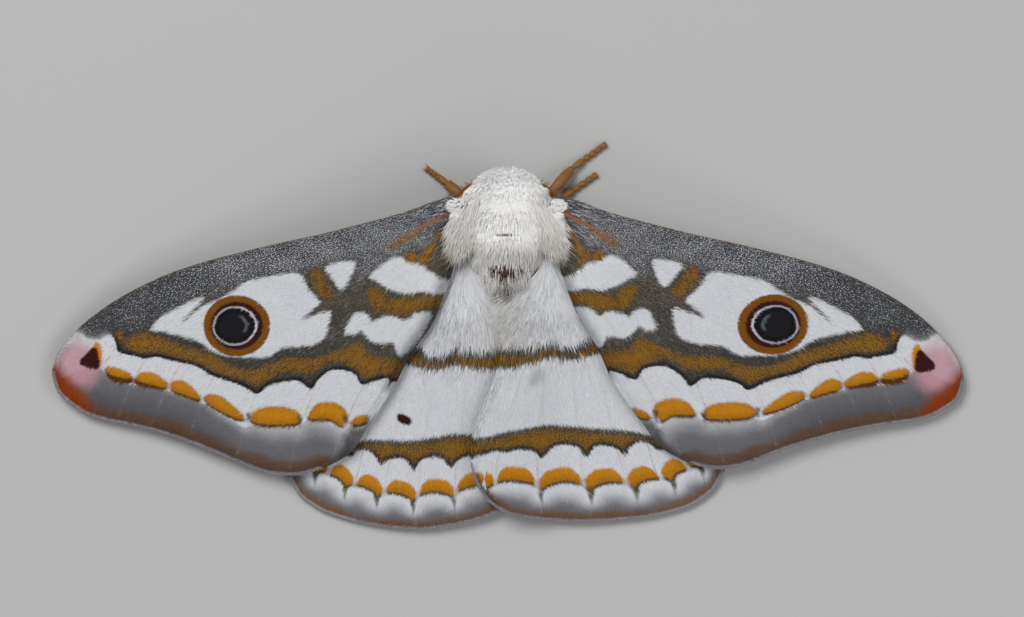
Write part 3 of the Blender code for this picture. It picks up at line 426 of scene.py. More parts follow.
def line_distance(points, line):
    """Distance in plan from points to a line of segments."""
    nearest = np.full(len(points), np.inf)
    for start, end in zip(line, line[1:]):
        run = end - start
        share = np.clip((points - start) @ run / max(run @ run, 1e-9), 0.0, 1.0)
        gap = points - start - share[:, None] * run
        nearest = np.minimum(nearest, np.einsum("ij,ij->i", gap, gap))
    return np.sqrt(nearest)


def field(points, outline):
    """Distance in plan from points to a closed outline, positive inside."""
    loop = smooth_line(outline, closed=True)
    loop = np.concatenate([loop, loop[:1]])
    inside = np.zeros(len(points), bool)
    for start, end in zip(loop, loop[1:]):
        if start[1] == end[1]:
            continue
        crosses = (start[1] > points[:, 1]) != (end[1] > points[:, 1])
        x = start[0] + (points[:, 1] - start[1]) / (end[1] - start[1]) * (end[0] - start[0])
        inside ^= crosses & (x > points[:, 0])
    return np.where(inside, 1.0, -1.0) * line_distance(points, loop)


def union(points, outlines):
    """Distance to the nearest of several outlines, positive inside any."""
    return np.max([field(points, outline) for outline in outlines.values()], axis=0)


def vein_distance(points, veins):
    """Distance in plan to the nearest vein."""
    return np.min([line_distance(points, smooth_line(vein, 0.8)) for vein in veins.values()], axis=0)


def back_marks(points):
    """Distance to the dark marks of the back, positive inside, and far outside their box."""
    distance = np.full(len(points), FAR)
    aside, rearmost, foremost = BACK_BOX
    near = (np.abs(points[:, 0]) < aside) & (points[:, 1] > rearmost) & (points[:, 1] < foremost)
    if points.shape[1] == 3:
        near &= points[:, 2] > BELLY_HEIGHT
    if near.any():
        distance[near] = union(points[near, :2], BACK_MARKS)
    return distance


def pull(place, shifts):
    """How far a list of shifts moves wing points, each one less the farther they are from its centre."""
    moved = np.zeros(place.shape)
    for centre, move, spread in shifts:
        gap = place - np.array(centre)
        reach = np.exp(-np.einsum("ij,ij->i", gap, gap) / (2.0 * spread**2))
        moved += reach[:, None] * np.array(move)
    return moved


def side_shift(side, place):
    """Where wing points of one side lie in the body's own x and y, with that side's small differences."""
    moved = place + side * pull(place, SIDE_SHIFTS)
    moved[:, 0] *= side
    return moved


def mark_places(side, place):
    """Where the markings of one side are looked up, as the right side's lie a little farther in or out."""
    return place - pull(place, MARK_SHIFTS) if side > 0 else place


def forewing_height(side, spot):
    """Height of a forewing's middle surface, highest over the body and lowest at the tip."""
    out = np.sqrt(spot[:, 0] ** 2 + RIDGE_ROUNDING**2) - RIDGE_ROUNDING
    slope = (1.0 - np.minimum(out / WING_REACH, 1.0)) ** FALL_POWER
    kept = 1.0 - REAR_DROP * smoothstep((DROP_STARTS - spot[:, 1]) / DROP_LENGTH)
    return TIP_HEIGHT + (ROOT_HEIGHT - TIP_HEIGHT) * slope * kept


def hindwing_height(side, spot):
    """Height of a hindwing's middle surface. The right one lies over the left one where they cross."""
    x, y = spot[:, 0], spot[:, 1]
    near_axis = np.exp(-((x / BACK_DIP_WIDTH) ** 2))
    dip = BACK_DIP * near_axis * smoothstep((y + BACK_DIP_LENGTH) / BACK_DIP_LENGTH)
    beside = smoothstep(x / CROSSING_WIDTH)
    return forewing_height(side, spot) - LAYER - dip + LAYER * (1.0 - beside if side > 0 else -beside)


# Sizes of the markings
TABLE_COLUMNS = 240
TABLE_ROWS = 130
PINK_RADIUS = 2.8
PALER_FROM = 34.0  # inwards of this a forewing's grey zone begins to turn paler
PALER_LENGTH = 12.0
ZONE_GROWTH = 0.32  # how far the forewing's grey zone reaches up to its half moons
RED_VEIN_WIDTH = 0.2
RED_VEIN_LENGTH = 8.6
EYESPOT_STRETCH = 1.11  # how much shorter the eye spot is along the body than across it
CORE_SHIFT = 0.17  # the eye spot's inner rings lie farther out than its outer ring
GLINT_RADIUS = 1.15
GLINT_WIDTH = 0.16
GLINT_WAY = np.array([-0.97, 0.24])
INNER_WIDTH = 1.0  # width of the darkening along a forewing's inner edge, partly grey hair and partly painted shade
LUNULE_DEPTH = 1.6
LUNULE_GAP = 0.16
LUNULE_VEIN = 0.95  # distance from the veins at which a half moon of the hindwing is full
OCHRE_DROPS = (0.6, 0.4)  # how far behind the dark edges of the two bands their ochre starts
DOWN_WIDTH = 3.0  # half width of the warmer hair along the body's axis
CUSP_LENGTH = 1.3
CUSP_WIDTH = 0.3
SHADOW_DEPTH = 0.3  # height of a half moon's dark lower edge


class Wing:
    """One kind of wing: its edges, its veins, its height and its markings."""

    def __init__(self, edges, veins, height, markings, looks):
        self.edges = {name: smooth_line(points) for name, points in edges.items()}
        self.veins = veins
        self.height = height
        self.markings = markings
        self.maroon_sides, self.rim_width, self.grey_depth, self.paler = looks
        self.tables = {}

    def place(self, uv):
        """Wing points at shares u from root to margin and v from the leading edge to the rear."""
        u, v = uv[:, 0], uv[:, 1]
        lead, rear = along(self.edges["lead"], u), along(self.edges["rear"], u)
        root, margin = along(self.edges["root"], v), along(self.edges["margin"], v)
        u, v = u[:, None], v[:, None]
        inner = (1 - v) * self.edges["lead"][0] + v * self.edges["rear"][0]
        outer = (1 - v) * self.edges["lead"][-1] + v * self.edges["rear"][-1]
        flat = (1 - u) * inner + u * outer
        return (1 - v) * lead + v * rear + (1 - u) * root + u * margin - flat

    def spot(self, side, uv, lift=0.0):
        """Points of the wing's middle surface in the body's frame."""
        plan = side_shift(side, self.place(uv))
        return np.column_stack([plan, self.height(side, plan) + lift])

    def fill_table(self, side):
        """Works out a side's fields on an even grid of the wing."""
        u, v = np.meshgrid(np.linspace(0, 1, TABLE_COLUMNS), np.linspace(0, 1, TABLE_ROWS), indexing="ij")
        place = self.place(np.column_stack([u.ravel(), v.ravel()]))
        fields = self.markings(mark_places(side, place))
        fields["margin"] = line_distance(place, self.edges["margin"])
        fields["rim"] = self.rim_width - fields["margin"]
        share = fields["zone"] / (np.maximum(fields["zone"], 0.0) + fields["margin"] + 0.001)
        fields["grey"] = (share - self.grey_depth[0]) / (self.grey_depth[1] - self.grey_depth[0])
        fields["edge"] = np.minimum(fields["margin"], line_distance(place, self.edges["rear"]))
        fields["costa"] = line_distance(place, self.edges["lead"])
        fields["vein"] = vein_distance(place, self.veins)
        fields["grey"] *= 1.0 - self.paler * smoothstep((PALER_FROM - place[:, 0]) / PALER_LENGTH)
        shape = (TABLE_COLUMNS, TABLE_ROWS)
        self.tables[side] = {name: values.reshape(shape) for name, values in fields.items()}

    def fields(self, side, uv):
        """Distances to the markings and to the wing's own lines, read between the grid's points."""
        if side not in self.tables:
            self.fill_table(side)
        column = np.clip(uv[:, 0], 0, 1) * (TABLE_COLUMNS - 1)
        row = np.clip(uv[:, 1], 0, 1) * (TABLE_ROWS - 1)
        left = np.minimum(column.astype(int), TABLE_COLUMNS - 2)
        low = np.minimum(row.astype(int), TABLE_ROWS - 2)
        across, up = column - left, row - low
        fields = {}
        for name, table in self.tables[side].items():
            near = table[left, low] * (1 - up) + table[left, low + 1] * up
            far = table[left + 1, low] * (1 - up) + table[left + 1, low + 1] * up
            fields[name] = near * (1 - across) + far * across
        fields["bare" if side in self.maroon_sides else "maroon"][:] = FAR
        fields["mark"] = back_marks(side_shift(side, self.place(uv)))
        reach = np.linalg.norm(self.edges["lead"][-1] - self.edges["lead"][0])
        width = np.linalg.norm(self.edges["margin"][-1] - self.edges["margin"][0])
        across = uv[:, 1] * width * (0.25 + 0.75 * uv[:, 0])
        fields["lie"] = np.column_stack([uv[:, 0] * reach, across, np.zeros(len(uv))])
        return fields


def forewing_markings(place):
    """Distances to a forewing's markings, positive inside."""
    gap = place - np.array(EYESPOT)
    red_line = smooth_line(FOREWING_VEINS["radius"][:6])
    from_root = np.hypot(*(place - red_line[0]).T)
    veins = vein_distance(place, FOREWING_VEINS)
    radius = np.hypot(gap[:, 0], gap[:, 1] * EYESPOT_STRETCH)
    core_gap = gap - [CORE_SHIFT, 0.0]
    core = np.hypot(core_gap[:, 0], core_gap[:, 1] * EYESPOT_STRETCH)
    inwards = (core_gap @ GLINT_WAY) / (core + 0.01)
    drop = SHADOW_DEPTH + 0.35 * smoothstep((place[:, 0] - 33.0) / 6.0)
    return {
        "white": union(place, FOREWING_WHITES),
        "beyond": field(place, BEYOND_LINE),
        "zone": field(place, ZONE_LINE) + ZONE_GROWTH,
        "ochre": union(place, FOREWING_OCHRES),
        "lunule": np.minimum(union(place, LUNULES), veins * 1.5 - 0.12),
        "low": union(place - np.column_stack([np.zeros(len(drop)), drop]), LUNULES),
        "pepper": field(place, PEPPER),
        "maroon": union(place, MAROONS),
        "apical": field(place, APICAL_EDGE),
        "apex": field(place, APEX_ORANGE),
        "pink": PINK_RADIUS - np.hypot(*(place - np.array(PINK_CENTRE)).T),
        "dusk": np.maximum(field(place, DUSK) * 0.3, cusp_wedges(place, FOREWING_CUSPS)),
        "redvein": RED_VEIN_WIDTH * (1 - from_root / RED_VEIN_LENGTH) - line_distance(place, red_line),
        "eyespot": radius,
        "core": core,
        "inwards": inwards,
        "bare": np.full(len(place), FAR),
        "down": np.zeros(len(place)),
        "inner": INNER_WIDTH - line_distance(place, smooth_line(FOREWING_EDGES["rear"][:6])),
    }


def cusp_wedges(place, cusps):
    """Distance to the dark wedges that hang from the tips between a wing's half moons, positive inside."""
    wedges = []
    for out, fore in cusps:
        down = (fore + 0.3 - place[:, 1]) / CUSP_LENGTH
        half = CUSP_WIDTH * (1.0 - down) - np.abs(place[:, 0] - out)
        wedges.append(np.minimum(half, CUSP_LENGTH * down))
    return np.max(wedges, axis=0)


def hindwing_markings(place):
    """Distances to a hindwing's markings, positive inside."""
    postmedian = field(place, POSTMEDIAN_BAND)
    band = np.maximum(field(place, MEDIAN_BAND), postmedian)
    upper_ochre = field(place + [0.0, OCHRE_DROPS[0]], MEDIAN_BAND) - 0.25
    ochre = np.maximum(upper_ochre, field(place + [0.0, OCHRE_DROPS[1]], POSTMEDIAN_BAND))
    zone = field(place, SCALLOP_LINE)
    veins = vein_distance(place, HINDWING_VEINS)
    dome = LUNULE_DEPTH * np.clip(veins / LUNULE_VEIN, 0.0, 1.0) ** 0.4
    lunule = np.minimum(np.minimum(-zone, zone + dome), veins - LUNULE_GAP)
    in_tornus = (place[:, 0] < TORNUS[0]) & (place[:, 1] < TORNUS[1])
    lunule = np.where(place[:, 0] < -1.2, np.minimum(lunule, field(place, TORNAL_MOON)), lunule)
    margin = line_distance(place, smooth_line(HINDWING_EDGES["margin"]))
    dusk = cusp_wedges(place, HINDWING_CUSPS)
    far = np.full(len(place), FAR)
    return {
        "white": -band,
        "beyond": np.where(place[:, 1] < -11.0, -postmedian, FAR),
        "zone": zone,
        "ochre": np.minimum(ochre, band - 0.26),
        "lunule": lunule,
        "low": -zone - SHADOW_DEPTH,
        "bare": field(place, BARE_PATCH),
        "down": np.exp(-((place[:, 0] / DOWN_WIDTH) ** 2)) * smoothstep((place[:, 1] + 3.0) / 3.0),
        "pepper": far,
        "maroon": field(place, CELL_SPOT),
        "apical": far,
        "apex": far,
        "pink": far,
        "dusk": np.where(in_tornus, np.maximum(dusk, 0.55 - margin), dusk),
        "redvein": far,
        "eyespot": -far,
        "core": -far,
        "inwards": far,
        "inner": far,
    }


# Sides with a maroon mark, the brown line's width, where grey starts and is full, and how far it pales
FOREWING_LOOKS = ((1, -1), 1.4, (-0.3, 0.12), 0.45)
HINDWING_LOOKS = ((-1,), 0.8, (0.08, 0.65), 0.0)
FOREWING = Wing(FOREWING_EDGES, FOREWING_VEINS, forewing_height, forewing_markings, FOREWING_LOOKS)
HINDWING = Wing(HINDWING_EDGES, HINDWING_VEINS, hindwing_height, hindwing_markings, HINDWING_LOOKS)


class Term:
    """A shader socket that takes part in Python expressions, where each operator adds a Math node."""

    def __init__(self, paint, socket):
        self.paint = paint
        self.socket = socket

    def math(self, operation, *terms):
        return self.paint.node("Math", {"operation": operation}, dict(enumerate(terms)))

    def __add__(self, other):
        return self.math("ADD", self, other)

    def __radd__(self, other):
        return self.math("ADD", other, self)

    def __sub__(self, other):
        return self.math("SUBTRACT", self, other)

    def __rsub__(self, other):
        return self.math("SUBTRACT", other, self)

    def __mul__(self, other):
        return self.math("MULTIPLY", self, other)

    def __rmul__(self, other):
        return self.math("MULTIPLY", other, self)

    def __truediv__(self, other):
        return self.math("DIVIDE", self, other)


class Paint:
    """A material that is built up from nodes."""

    def __init__(self, name, constants=None):
        self.material = bpy.data.materials.new(name)
        self.material.use_nodes = True
        self.tree = self.material.node_tree
        self.shader = self.tree.nodes["Principled BSDF"]
        for socket, value in (constants or {}).items():
            self.shader.inputs[socket].default_value = value

    def feed(self, socket, value):
        """Links a term to a socket, or sets the socket to a value."""
        if isinstance(value, Term):
            self.tree.links.new(value.socket, socket)
        elif socket.type == "RGBA":
            socket.default_value = (*tuple(value)[:3], 1.0)
        else:
            socket.default_value = value

    def node(self, kind, settings=None, sockets=None, output=0):
        """A node of the given kind, with its settings and its sockets' values or links, as a term."""
        node = self.tree.nodes.new("ShaderNode" + kind)
        for name, value in (settings or {}).items():
            setattr(node, name, value)
        for name, value in (sockets or {}).items():
            self.feed(node.inputs[name], value)
        return Term(self, node.outputs[output])

    def attribute(self, name, output="Fac"):
        """The piece's own attribute."""
        return self.node("Attribute", {"attribute_name": name}, output=output)

    def noise(self, vector, scale, detail=2.0):
        """Noise between 0 and 1."""
        return self.node("TexNoise", None, {"Vector": vector, "Scale": scale, "Detail": detail}, "Fac")

    def stretched(self, vector, scale):
        """A vector with each axis multiplied by its own scale."""
        return self.node("VectorMath", {"operation": "MULTIPLY"}, {0: vector, 1: scale})

    def step(self, value, low, high):
        """A soft step from 0 at low to 1 at high."""
        sockets = {"Value": value, "From Min": low, "From Max": high}
        return self.node("MapRange", {"interpolation_type": "SMOOTHSTEP"}, sockets)

    def larger(self, first, second):
        """The larger of two values."""
        return self.node("Math", {"operation": "MAXIMUM"}, {0: first, 1: second})

    def mix(self, factor, first, second):
        """The first colour, turned into the second by a factor."""
        return self.node("Mix", {"data_type": "RGBA"}, {0: factor, 6: first, 7: second}, 2)

    def shade(self, tint, factor):
        """A colour multiplied by a value."""
        return self.node("VectorMath", {"operation": "SCALE"}, {0: tint, "Scale": factor})

    def finish(self, base, height=None, depth=0.0):
        """Links the shader and returns the material. depth is the bump's height in metres."""
        self.feed(self.shader.inputs["Base Color"], base)
        if height is not None:
            bump = self.node("Bump", None, {"Height": height, "Distance": depth})
            self.feed(self.shader.inputs["Normal"], bump)
        return self.material


def wing_paint():
    """The wings' material: one paint for the skin and for the scales, which read the same distances."""
    tints = colours()
    paint = Paint("painted_scales", {"Roughness": 0.9, "Specular IOR Level": 0.15})
    lie = paint.attribute("lie", "Vector")
    out = paint.node("SeparateXYZ", None, {"Vector": lie}, "X")
    tone = paint.attribute("tone")
    strands = paint.noise(paint.stretched(lie, (1.3, 9.0, 1.0)), 1.0)
    grain = paint.noise(paint.stretched(lie, (7.0, 12.0, 1.0)), 1.0, 1.0)
    broad = paint.noise(lie, 0.35)
    ragged = (strands - 0.5) * 0.7 + (tone - 0.5) * 0.22
    zone, margin = paint.attribute("zone"), paint.attribute("margin")
    veins = paint.attribute("vein")
    near_base = paint.step(out, 14.0, 4.0)
    near_tip = paint.step(out, 30.0, 38.0)

    def reach(name, soft, raggedness=1.0):
        """1 inside a marking, with a hairy edge."""
        return paint.step(paint.attribute(name) + ragged * raggedness, -soft, soft)

    # Dark ground, with pepper along the leading edge that thins out towards the tip, partly the pattern and
    # partly painted shade, and is pale at it
    pepper = reach("pepper", 0.8, 0.6)
    smoke = paint.mix(broad * paint.step(out, 36.0, 12.0), tints.smoke, tints.olive)
    smoke = paint.shade(paint.mix(pepper, smoke, tints.graphite), 0.6 + strands * 0.8 + near_base * 0.5)
    # Painted shade, partly the pattern: fewer light specks from 20 to 38 mm out, and more at the very tip.
    pale = paint.step(out, 40.5, 44.0) * 0.2 - paint.step(out, 20.0, 38.0) * 0.08 + (broad - 0.5) * 0.14
    specks = paint.step(grain + pale + (tone - 0.5) * 0.26, 0.5, 0.66)
    speck_tint = paint.mix(grain, tints.pepper_light, tints.white)
    tint = paint.mix(specks * (0.25 + 0.75 * pepper) * 0.9, smoke, speck_tint)
    # Ochre bands, mottled with dark hair
    mottle = grain + paint.attribute("ochre") * 0.1 + near_base * 0.03 + (tone - 0.5) * 0.34
    mottle = paint.step(mottle, 0.5, 0.6)
    ochre = paint.mix(broad * 0.2 + near_base * 0.4, tints.ochre, tints.orange)
    ochre = paint.shade(ochre, 0.3 + strands * 0.6 + grain * 0.8)
    tint = paint.mix(reach("ochre", 0.2) * (0.08 + 0.92 * mottle), tint, ochre)
    beyond = paint.attribute("beyond")
    line = paint.step(beyond + ragged * 0.5, -0.6, -0.12)
    tint = paint.mix(line * (1.0 - pepper) * 0.85, tint, tints.black)
    # White fields, and all beyond the dark line
    white_share = broad * 0.08 + tone * 0.08 + near_base * 0.1
    white = paint.mix(white_share, tints.white, tints.fur)
    white = paint.mix(paint.attribute("down") * 0.8, white, tints.down)
    white = paint.shade(white, 0.42 + strands * 0.34 + grain * 0.76)
    soft = 0.1 + pepper * 0.9
    fields = paint.larger(reach("white", 0.22), paint.step(beyond + ragged * 0.5, soft * -1.0, soft))
    tint = paint.mix(fields, tint, white)
    lines = paint.step(veins, 0.17, 0.05) * paint.step(out, 11.0, 16.0) * (1.0 - pepper)
    tint = paint.mix(lines * (0.1 + 0.3 * reach("beyond", 0.2)), tint, tints.vein)
    # Outer zone: white at the half moons, grey farther out and a blurred brown line inside the margin
    share = paint.attribute("grey") + (broad - 0.5) * 0.3 + (grain - 0.5) * 0.5
    grey = paint.shade(tints.lilac, 0.7 + strands * 0.4 + grain * 0.5 - paint.step(share, 0.6, 2.4) * 0.5)
    outer = paint.mix(paint.step(share, 0.0, 1.0), white, grey)
    rim = paint.step(paint.attribute("rim") + (broad - 0.5) * 0.9 + ragged * 0.5, -0.4, 0.3)
    rim_tint = paint.shade(tints.rim, (0.6 + strands * 0.8) * (1.0 - paint.step(out, 22.0, 33.0) * 0.5))
    outer = paint.mix(rim * (0.45 + broad * 0.6), outer, rim_tint)
    outer = paint.mix(paint.step(veins, 0.16, 0.04) * 0.14, outer, tints.white)
    tint = paint.mix(paint.step(zone + ragged * 0.5, -0.1, 0.1), tint, outer)
    # Painted shade, partly grey hair: the colour is darkened along the forewing's inner edge near the body.
    tint = paint.mix(reach("inner", 0.7, 0.6) * 0.8, tint, paint.shade(tint, 0.4))
    # Half moons with a dark lower edge, which is red and broader towards the tip
    low = paint.attribute("low") + ragged * 0.4
    fall = paint.step(low, 0.9, 0.0) * 0.5
    moon = paint.mix(fall + tone * 0.15, tints.orange, tints.ochre)
    moon = paint.shade(moon, 0.3 + strands * 0.4 + grain)
    lower_edge = paint.mix(near_tip, tints.smoke, tints.maroon)
    moon = paint.mix(paint.step(low, 0.12, -0.12) * 0.85, moon, lower_edge)
    tint = paint.mix(reach("lunule", 0.17, 0.7), tint, moon)
    # Tip of the forewing
    tint = paint.mix(paint.step(paint.attribute("pink") + ragged, -0.6, 1.5) * 0.9, tint, tints.pink)
    tint = paint.mix(reach("apex", 0.8, 0.5), tint, paint.shade(tints.apex, 0.8 + strands * 0.4))
    tint = paint.mix(reach("apical", 0.15, 0.4), tint, tints.orange)
    tint = paint.mix(reach("maroon", 0.14, 0.4), tint, tints.maroon)
    tint = paint.mix(reach("dusk", 0.16, 0.4) * 0.85, tint, smoke)
    tint = paint.mix(reach("bare", 0.5, 0.8) * 0.3, tint, smoke)
    # Root of the red vein, leading edge and fringe
    tint = paint.mix(paint.step(paint.attribute("redvein"), -0.05, 0.05), tint, tints.vein)
    tint = paint.mix(paint.step(paint.attribute("costa"), 0.14, 0.04) * 0.6, tint, tints.rim)
    fringe = paint.shade(tints.lilac, 1.8 + strands * 0.6)
    tint = paint.mix(paint.step(margin, 0.42, 0.24) * 0.85, tint, fringe)
    # Eye spot
    round_spot = paint.attribute("eyespot") + ragged * 0.14
    core = paint.attribute("core") + ragged * 0.1 + (broad - 0.5) * 0.4
    inwards = paint.attribute("inwards")
    ring = paint.shade(paint.mix(strands * 0.5, tints.ring, tints.ochre), 0.75 + grain * 0.5)
    pale_ring = paint.shade(tints.lilac_ring, 0.75 + paint.step(inwards, 0.2, 1.0) * 0.5)
    off_glint = core - GLINT_RADIUS
    glint = paint.step(GLINT_WIDTH - off_glint * off_glint * 5.0, -0.05, 0.12)
    tint = paint.mix(paint.step(round_spot, 3.46, 3.26), tint, ring)
    tint = paint.mix(paint.step(round_spot, 2.76, 2.5), tint, tints.maroon)
    tint = paint.mix(paint.step(core, 2.26, 2.16), tint, pale_ring)
    tint = paint.mix(paint.step(core, 2.04, 1.94), tint, tints.black)
    tint = paint.mix(paint.step(core, 1.6, 1.4) * 0.04, tint, tints.glint)
    tint = paint.mix(glint * paint.step(inwards, 0.5, 0.85) * 0.8, tint, tints.glint)
    tint = paint.mix(reach("mark", 0.2, 0.8) * 0.5, tint, tints.mark)
    return paint.finish(tint, strands * 0.7 + grain * 0.3, 0.0001)


def fur_paint(name, tint, warm):
    """A coat's material, for the skin below it and its tufts alike."""
    tints = colours()
    paint = Paint(name, {"Roughness": 0.85, "Specular IOR Level": 0.15})
    tone = paint.attribute("tone")
    # Painted shade, partly the coat's own tinge: the coat turns towards its second colour, beige on the
    # body, as far as its attribute asks. Tone adds a little at random.
    shade = paint.mix(paint.larger(paint.attribute("warm"), tone * 0.12), tint, warm)
    # Painted shade: each tuft is a little darker towards its root, where the coat shades it. Tone makes it
    # lighter or darker at random.
    shade = paint.shade(shade, 0.91 + 0.04 * paint.attribute("rise") + 0.07 * tone)
    shade = paint.mix(paint.attribute("dim") * (0.6 + 0.5 * tone), shade, tints.olive)
    marks = paint.step(paint.attribute("mark") + (tone - 0.5) * 0.9, -0.15, 0.15)
    place = {"Vector": paint.node("TexCoord", output="Object")}
    x, y, z = [paint.node("SeparateXYZ", None, place, axis) for axis in "XYZ"]
    on_back = paint.step(z, BELLY_HEIGHT * MM, (BELLY_HEIGHT + 1.5) * MM)
    # Narrow dark lines on the back: a painted shadow in the furrow across the thorax, and a line along the
    # back's upper mark.
    for fore, half_length, half_width in BACK_LINES:
        across = x / (half_width * MM)
        ahead = (y - fore * MM) / (half_length * MM)
        inside = paint.step(1.0 - across * across - ahead * ahead + (tone - 0.6) * 2.6, -0.4, 0.6)
        marks = paint.larger(marks, inside * on_back * 0.85)
    return paint.finish(paint.mix(marks, shade, tints.mark))


def write_fields(mesh, fields):
    """Stores arrays with one value or one vector for each vertex."""
    for name, values in fields.items():
        kind = "FLOAT_VECTOR" if values.ndim == 2 else "FLOAT"
        layer = mesh.attributes.new(name, kind, "POINT")
        slot = "vector" if values.ndim == 2 else "value"
        layer.data.foreach_set(slot, values.astype(np.float32).ravel())


def add_piece(name, mesh, material, replaced=()):
    """An object for a finished mesh, on the body, in the place of the solids' nodes."""
    mesh.materials.append(material)
    mesh.shade_smooth()
    obj = bpy.data.objects.new(name, mesh)
    bpy.context.scene.collection.objects.link(obj)
    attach(obj, "root")
    if replaced:
        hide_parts(*replaced)
    return obj


def finish_mesh(name, bm):
    """A mesh from a bmesh in millimetres, its faces turned outwards."""
    bmesh.ops.recalc_face_normals(bm, faces=bm.faces)
    bmesh.ops.scale(bm, vec=(MM, MM, MM), verts=bm.verts)
    mesh = bpy.data.meshes.new(name)
    bm.to_mesh(mesh)
    bm.free()
    return mesh


def mesh_points(mesh):
    """A mesh's vertices as an array in millimetres."""
    points = np.empty(len(mesh.vertices) * 3, np.float32)
    mesh.vertices.foreach_get("co", points)
    return points.reshape(-1, 3).astype(float) / MM


WING_COLUMNS = 200
WING_ROWS = 100
EDGE_WALL = 0.35  # share of a wing's thickness that is left at its edges
EDGE_WIDTH = 1.2
VEIN_SWELL = 0.55
VEIN_HALF_WIDTH = 0.34


def make_wing(name, wing, side):
    """A wing's skin, a fine grid between its four edges that faces up, and its thickness at each vertex."""
    bm = bmesh.new()
    bmesh.ops.create_grid(bm, x_segments=WING_COLUMNS, y_segments=WING_ROWS, size=0.5)
    uv = np.array([(vert.co.x + 0.5, vert.co.y + 0.5) for vert in bm.verts])
    for vert, spot in zip(bm.verts, wing.spot(side, uv)):
        vert.co = Vector(spot) * MM
    bm.normal_update()
    if sum(face.normal.z for face in bm.faces) < 0:
        bmesh.ops.reverse_faces(bm, faces=bm.faces)
    mesh = bpy.data.meshes.new(name)
    bm.to_mesh(mesh)
    bm.free()
    fields = wing.fields(side, uv)
    fields["tone"] = np.full(len(uv), 0.5)
    write_fields(mesh, fields)
    near_edge = np.minimum(fields["edge"], fields["costa"])
    thinned = EDGE_WALL + (1.0 - EDGE_WALL) * smoothstep(near_edge / EDGE_WIDTH)
    vein = np.clip(1.0 - fields["vein"] / VEIN_HALF_WIDTH, 0.0, 1.0) ** 2
    return mesh, thinned * (1.0 + VEIN_SWELL * vein) / (1.0 + VEIN_SWELL)


def add_wall(obj, weights):
    """Gives a wing its thickness, which follows the weights."""
    group = obj.vertex_groups.new(name="wall")
    for index, weight in enumerate(weights):
        group.add([index], float(weight), "REPLACE")
    wall = obj.modifiers.new("wall", "SOLIDIFY")
    wall.thickness = sizes().wing_wall * (1.0 + VEIN_SWELL)
    wall.offset = 0.0
    wall.vertex_group = group.name


class MOTH_OT_wings(bpy.types.Operator):
    """Adds the four wings with their veins and markings"""

    bl_idname = "moth.wings"
    bl_label = "Wings"

    def execute(self, context):
        material = wing_paint()
        for side, word in SIDES:
            for kind, wing in (("forewing", FOREWING), ("hindwing", HINDWING)):
                mesh, weights = make_wing(f"{kind}_{word}_skin", wing, side)
                obj = add_piece(mesh.name, mesh, material, [f"{kind}_{word}"])
                add_wall(obj, weights)
        return {"FINISHED"}


TUFT_SIDES = 3
TUFT_PATCH = 0.003  # width of a tuft's place on the OFBake map
TUFT_FLATNESS = 0.55
TUFT_RISE = 0.6  # how early a tuft bends over: its height is lift times t less this share of t squared
TUFT_ROUNDNESS = 0.22  # how much of a tuft's own roundness shows in its shading, beside the surface's
TUFT_UPRIGHT = 0.7  # how far a tuft's shading leans towards the sky, as light passes through thin hair
TUFT_SINK = 0.1  # how deep a tuft's root sits, as a share of its width
FLOOR_GAP = 0.02
TUFT_GIRTHS = {2: (0.8, 1.0), 3: (0.75, 1.0, 0.75), 4: (0.7, 1.0, 0.9, 0.6)}


def unit(vectors):
    """Vectors made one long."""
    return vectors / np.linalg.norm(vectors, axis=1)[:, None]


def flatten_on(normals, vectors):
    """Vectors laid along the surfaces that the normals stand on, and made one long."""
    return unit(vectors - np.einsum("ij,ij->i", vectors, normals)[:, None] * normals)


def tuft_pattern(rings):
    """A tuft's faces, and their corners' places within its patch of the map."""
    faces = [tuple(range(TUFT_SIDES))]
    corner_places = [[(-0.5, -0.5), (0.5, -0.5), (0.0, -0.2)]]
    for ring in range(rings):
        bottom, top = ring / rings - 0.5, (ring + 1) / rings - 0.5
        for corner in range(TUFT_SIDES):
            after = (corner + 1) % TUFT_SIDES
            left, right = corner / TUFT_SIDES - 0.5, (corner + 1) / TUFT_SIDES - 0.5
            low, high = ring * TUFT_SIDES, (ring + 1) * TUFT_SIDES
            if ring < rings - 1:
                faces.append((low + after, low + corner, high + corner, high + after))
                corner_places.append([(right, bottom), (left, bottom), (left, top), (right, top)])
            else:
                faces.append((low + after, low + corner, high))
                corner_places.append([(right, bottom), (left, bottom), (0.0, top)])
    return faces, np.concatenate([np.array(corners) for corners in corner_places])


def tuft_points(roots, normals, lies, lengths, widths, lifts, rings, rng, sway):
    """Vertices and shading directions of tapered tufts, which rise from their roots and bend over."""
    lengths, widths, lifts = lengths[:, None], widths[:, None], lifts[:, None]
    sides = unit(np.cross(lies, normals))
    bend = rng.normal(0.0, sway, (len(roots), 1))
    twist = rng.uniform(-0.5, 0.5, (len(roots), 1))
    uprights = normals + [0.0, 0.0, TUFT_UPRIGHT]
    rows, shades = [], []
    for ring in range(rings + 1):
        t = ring / rings
        rise = lifts * (t - TUFT_RISE * t * t)
        middle = roots + lengths * (t * lies + rise * normals + bend * t * t * sides)
        middle = middle - TUFT_SINK * widths * normals
        if ring == rings:
            rows.append(middle[:, None, :])
            shades.append(unit(uprights)[:, None, :])
            break
        radius = widths / 2 * TUFT_GIRTHS[rings][ring]
        corners, ways = [], []
        for corner in range(TUFT_SIDES):
            angle = math.pi / 2 + corner * 2 * math.pi / TUFT_SIDES + twist
            way = np.cos(angle) * sides + TUFT_FLATNESS * np.sin(angle) * normals
            corners.append(middle + radius * way)
            ways.append(unit(uprights + TUFT_ROUNDNESS * way))
        rows.append(np.stack(corners, axis=1))
        shades.append(np.stack(ways, axis=1))
    return np.concatenate(rows, axis=1), np.concatenate(shades, axis=1)


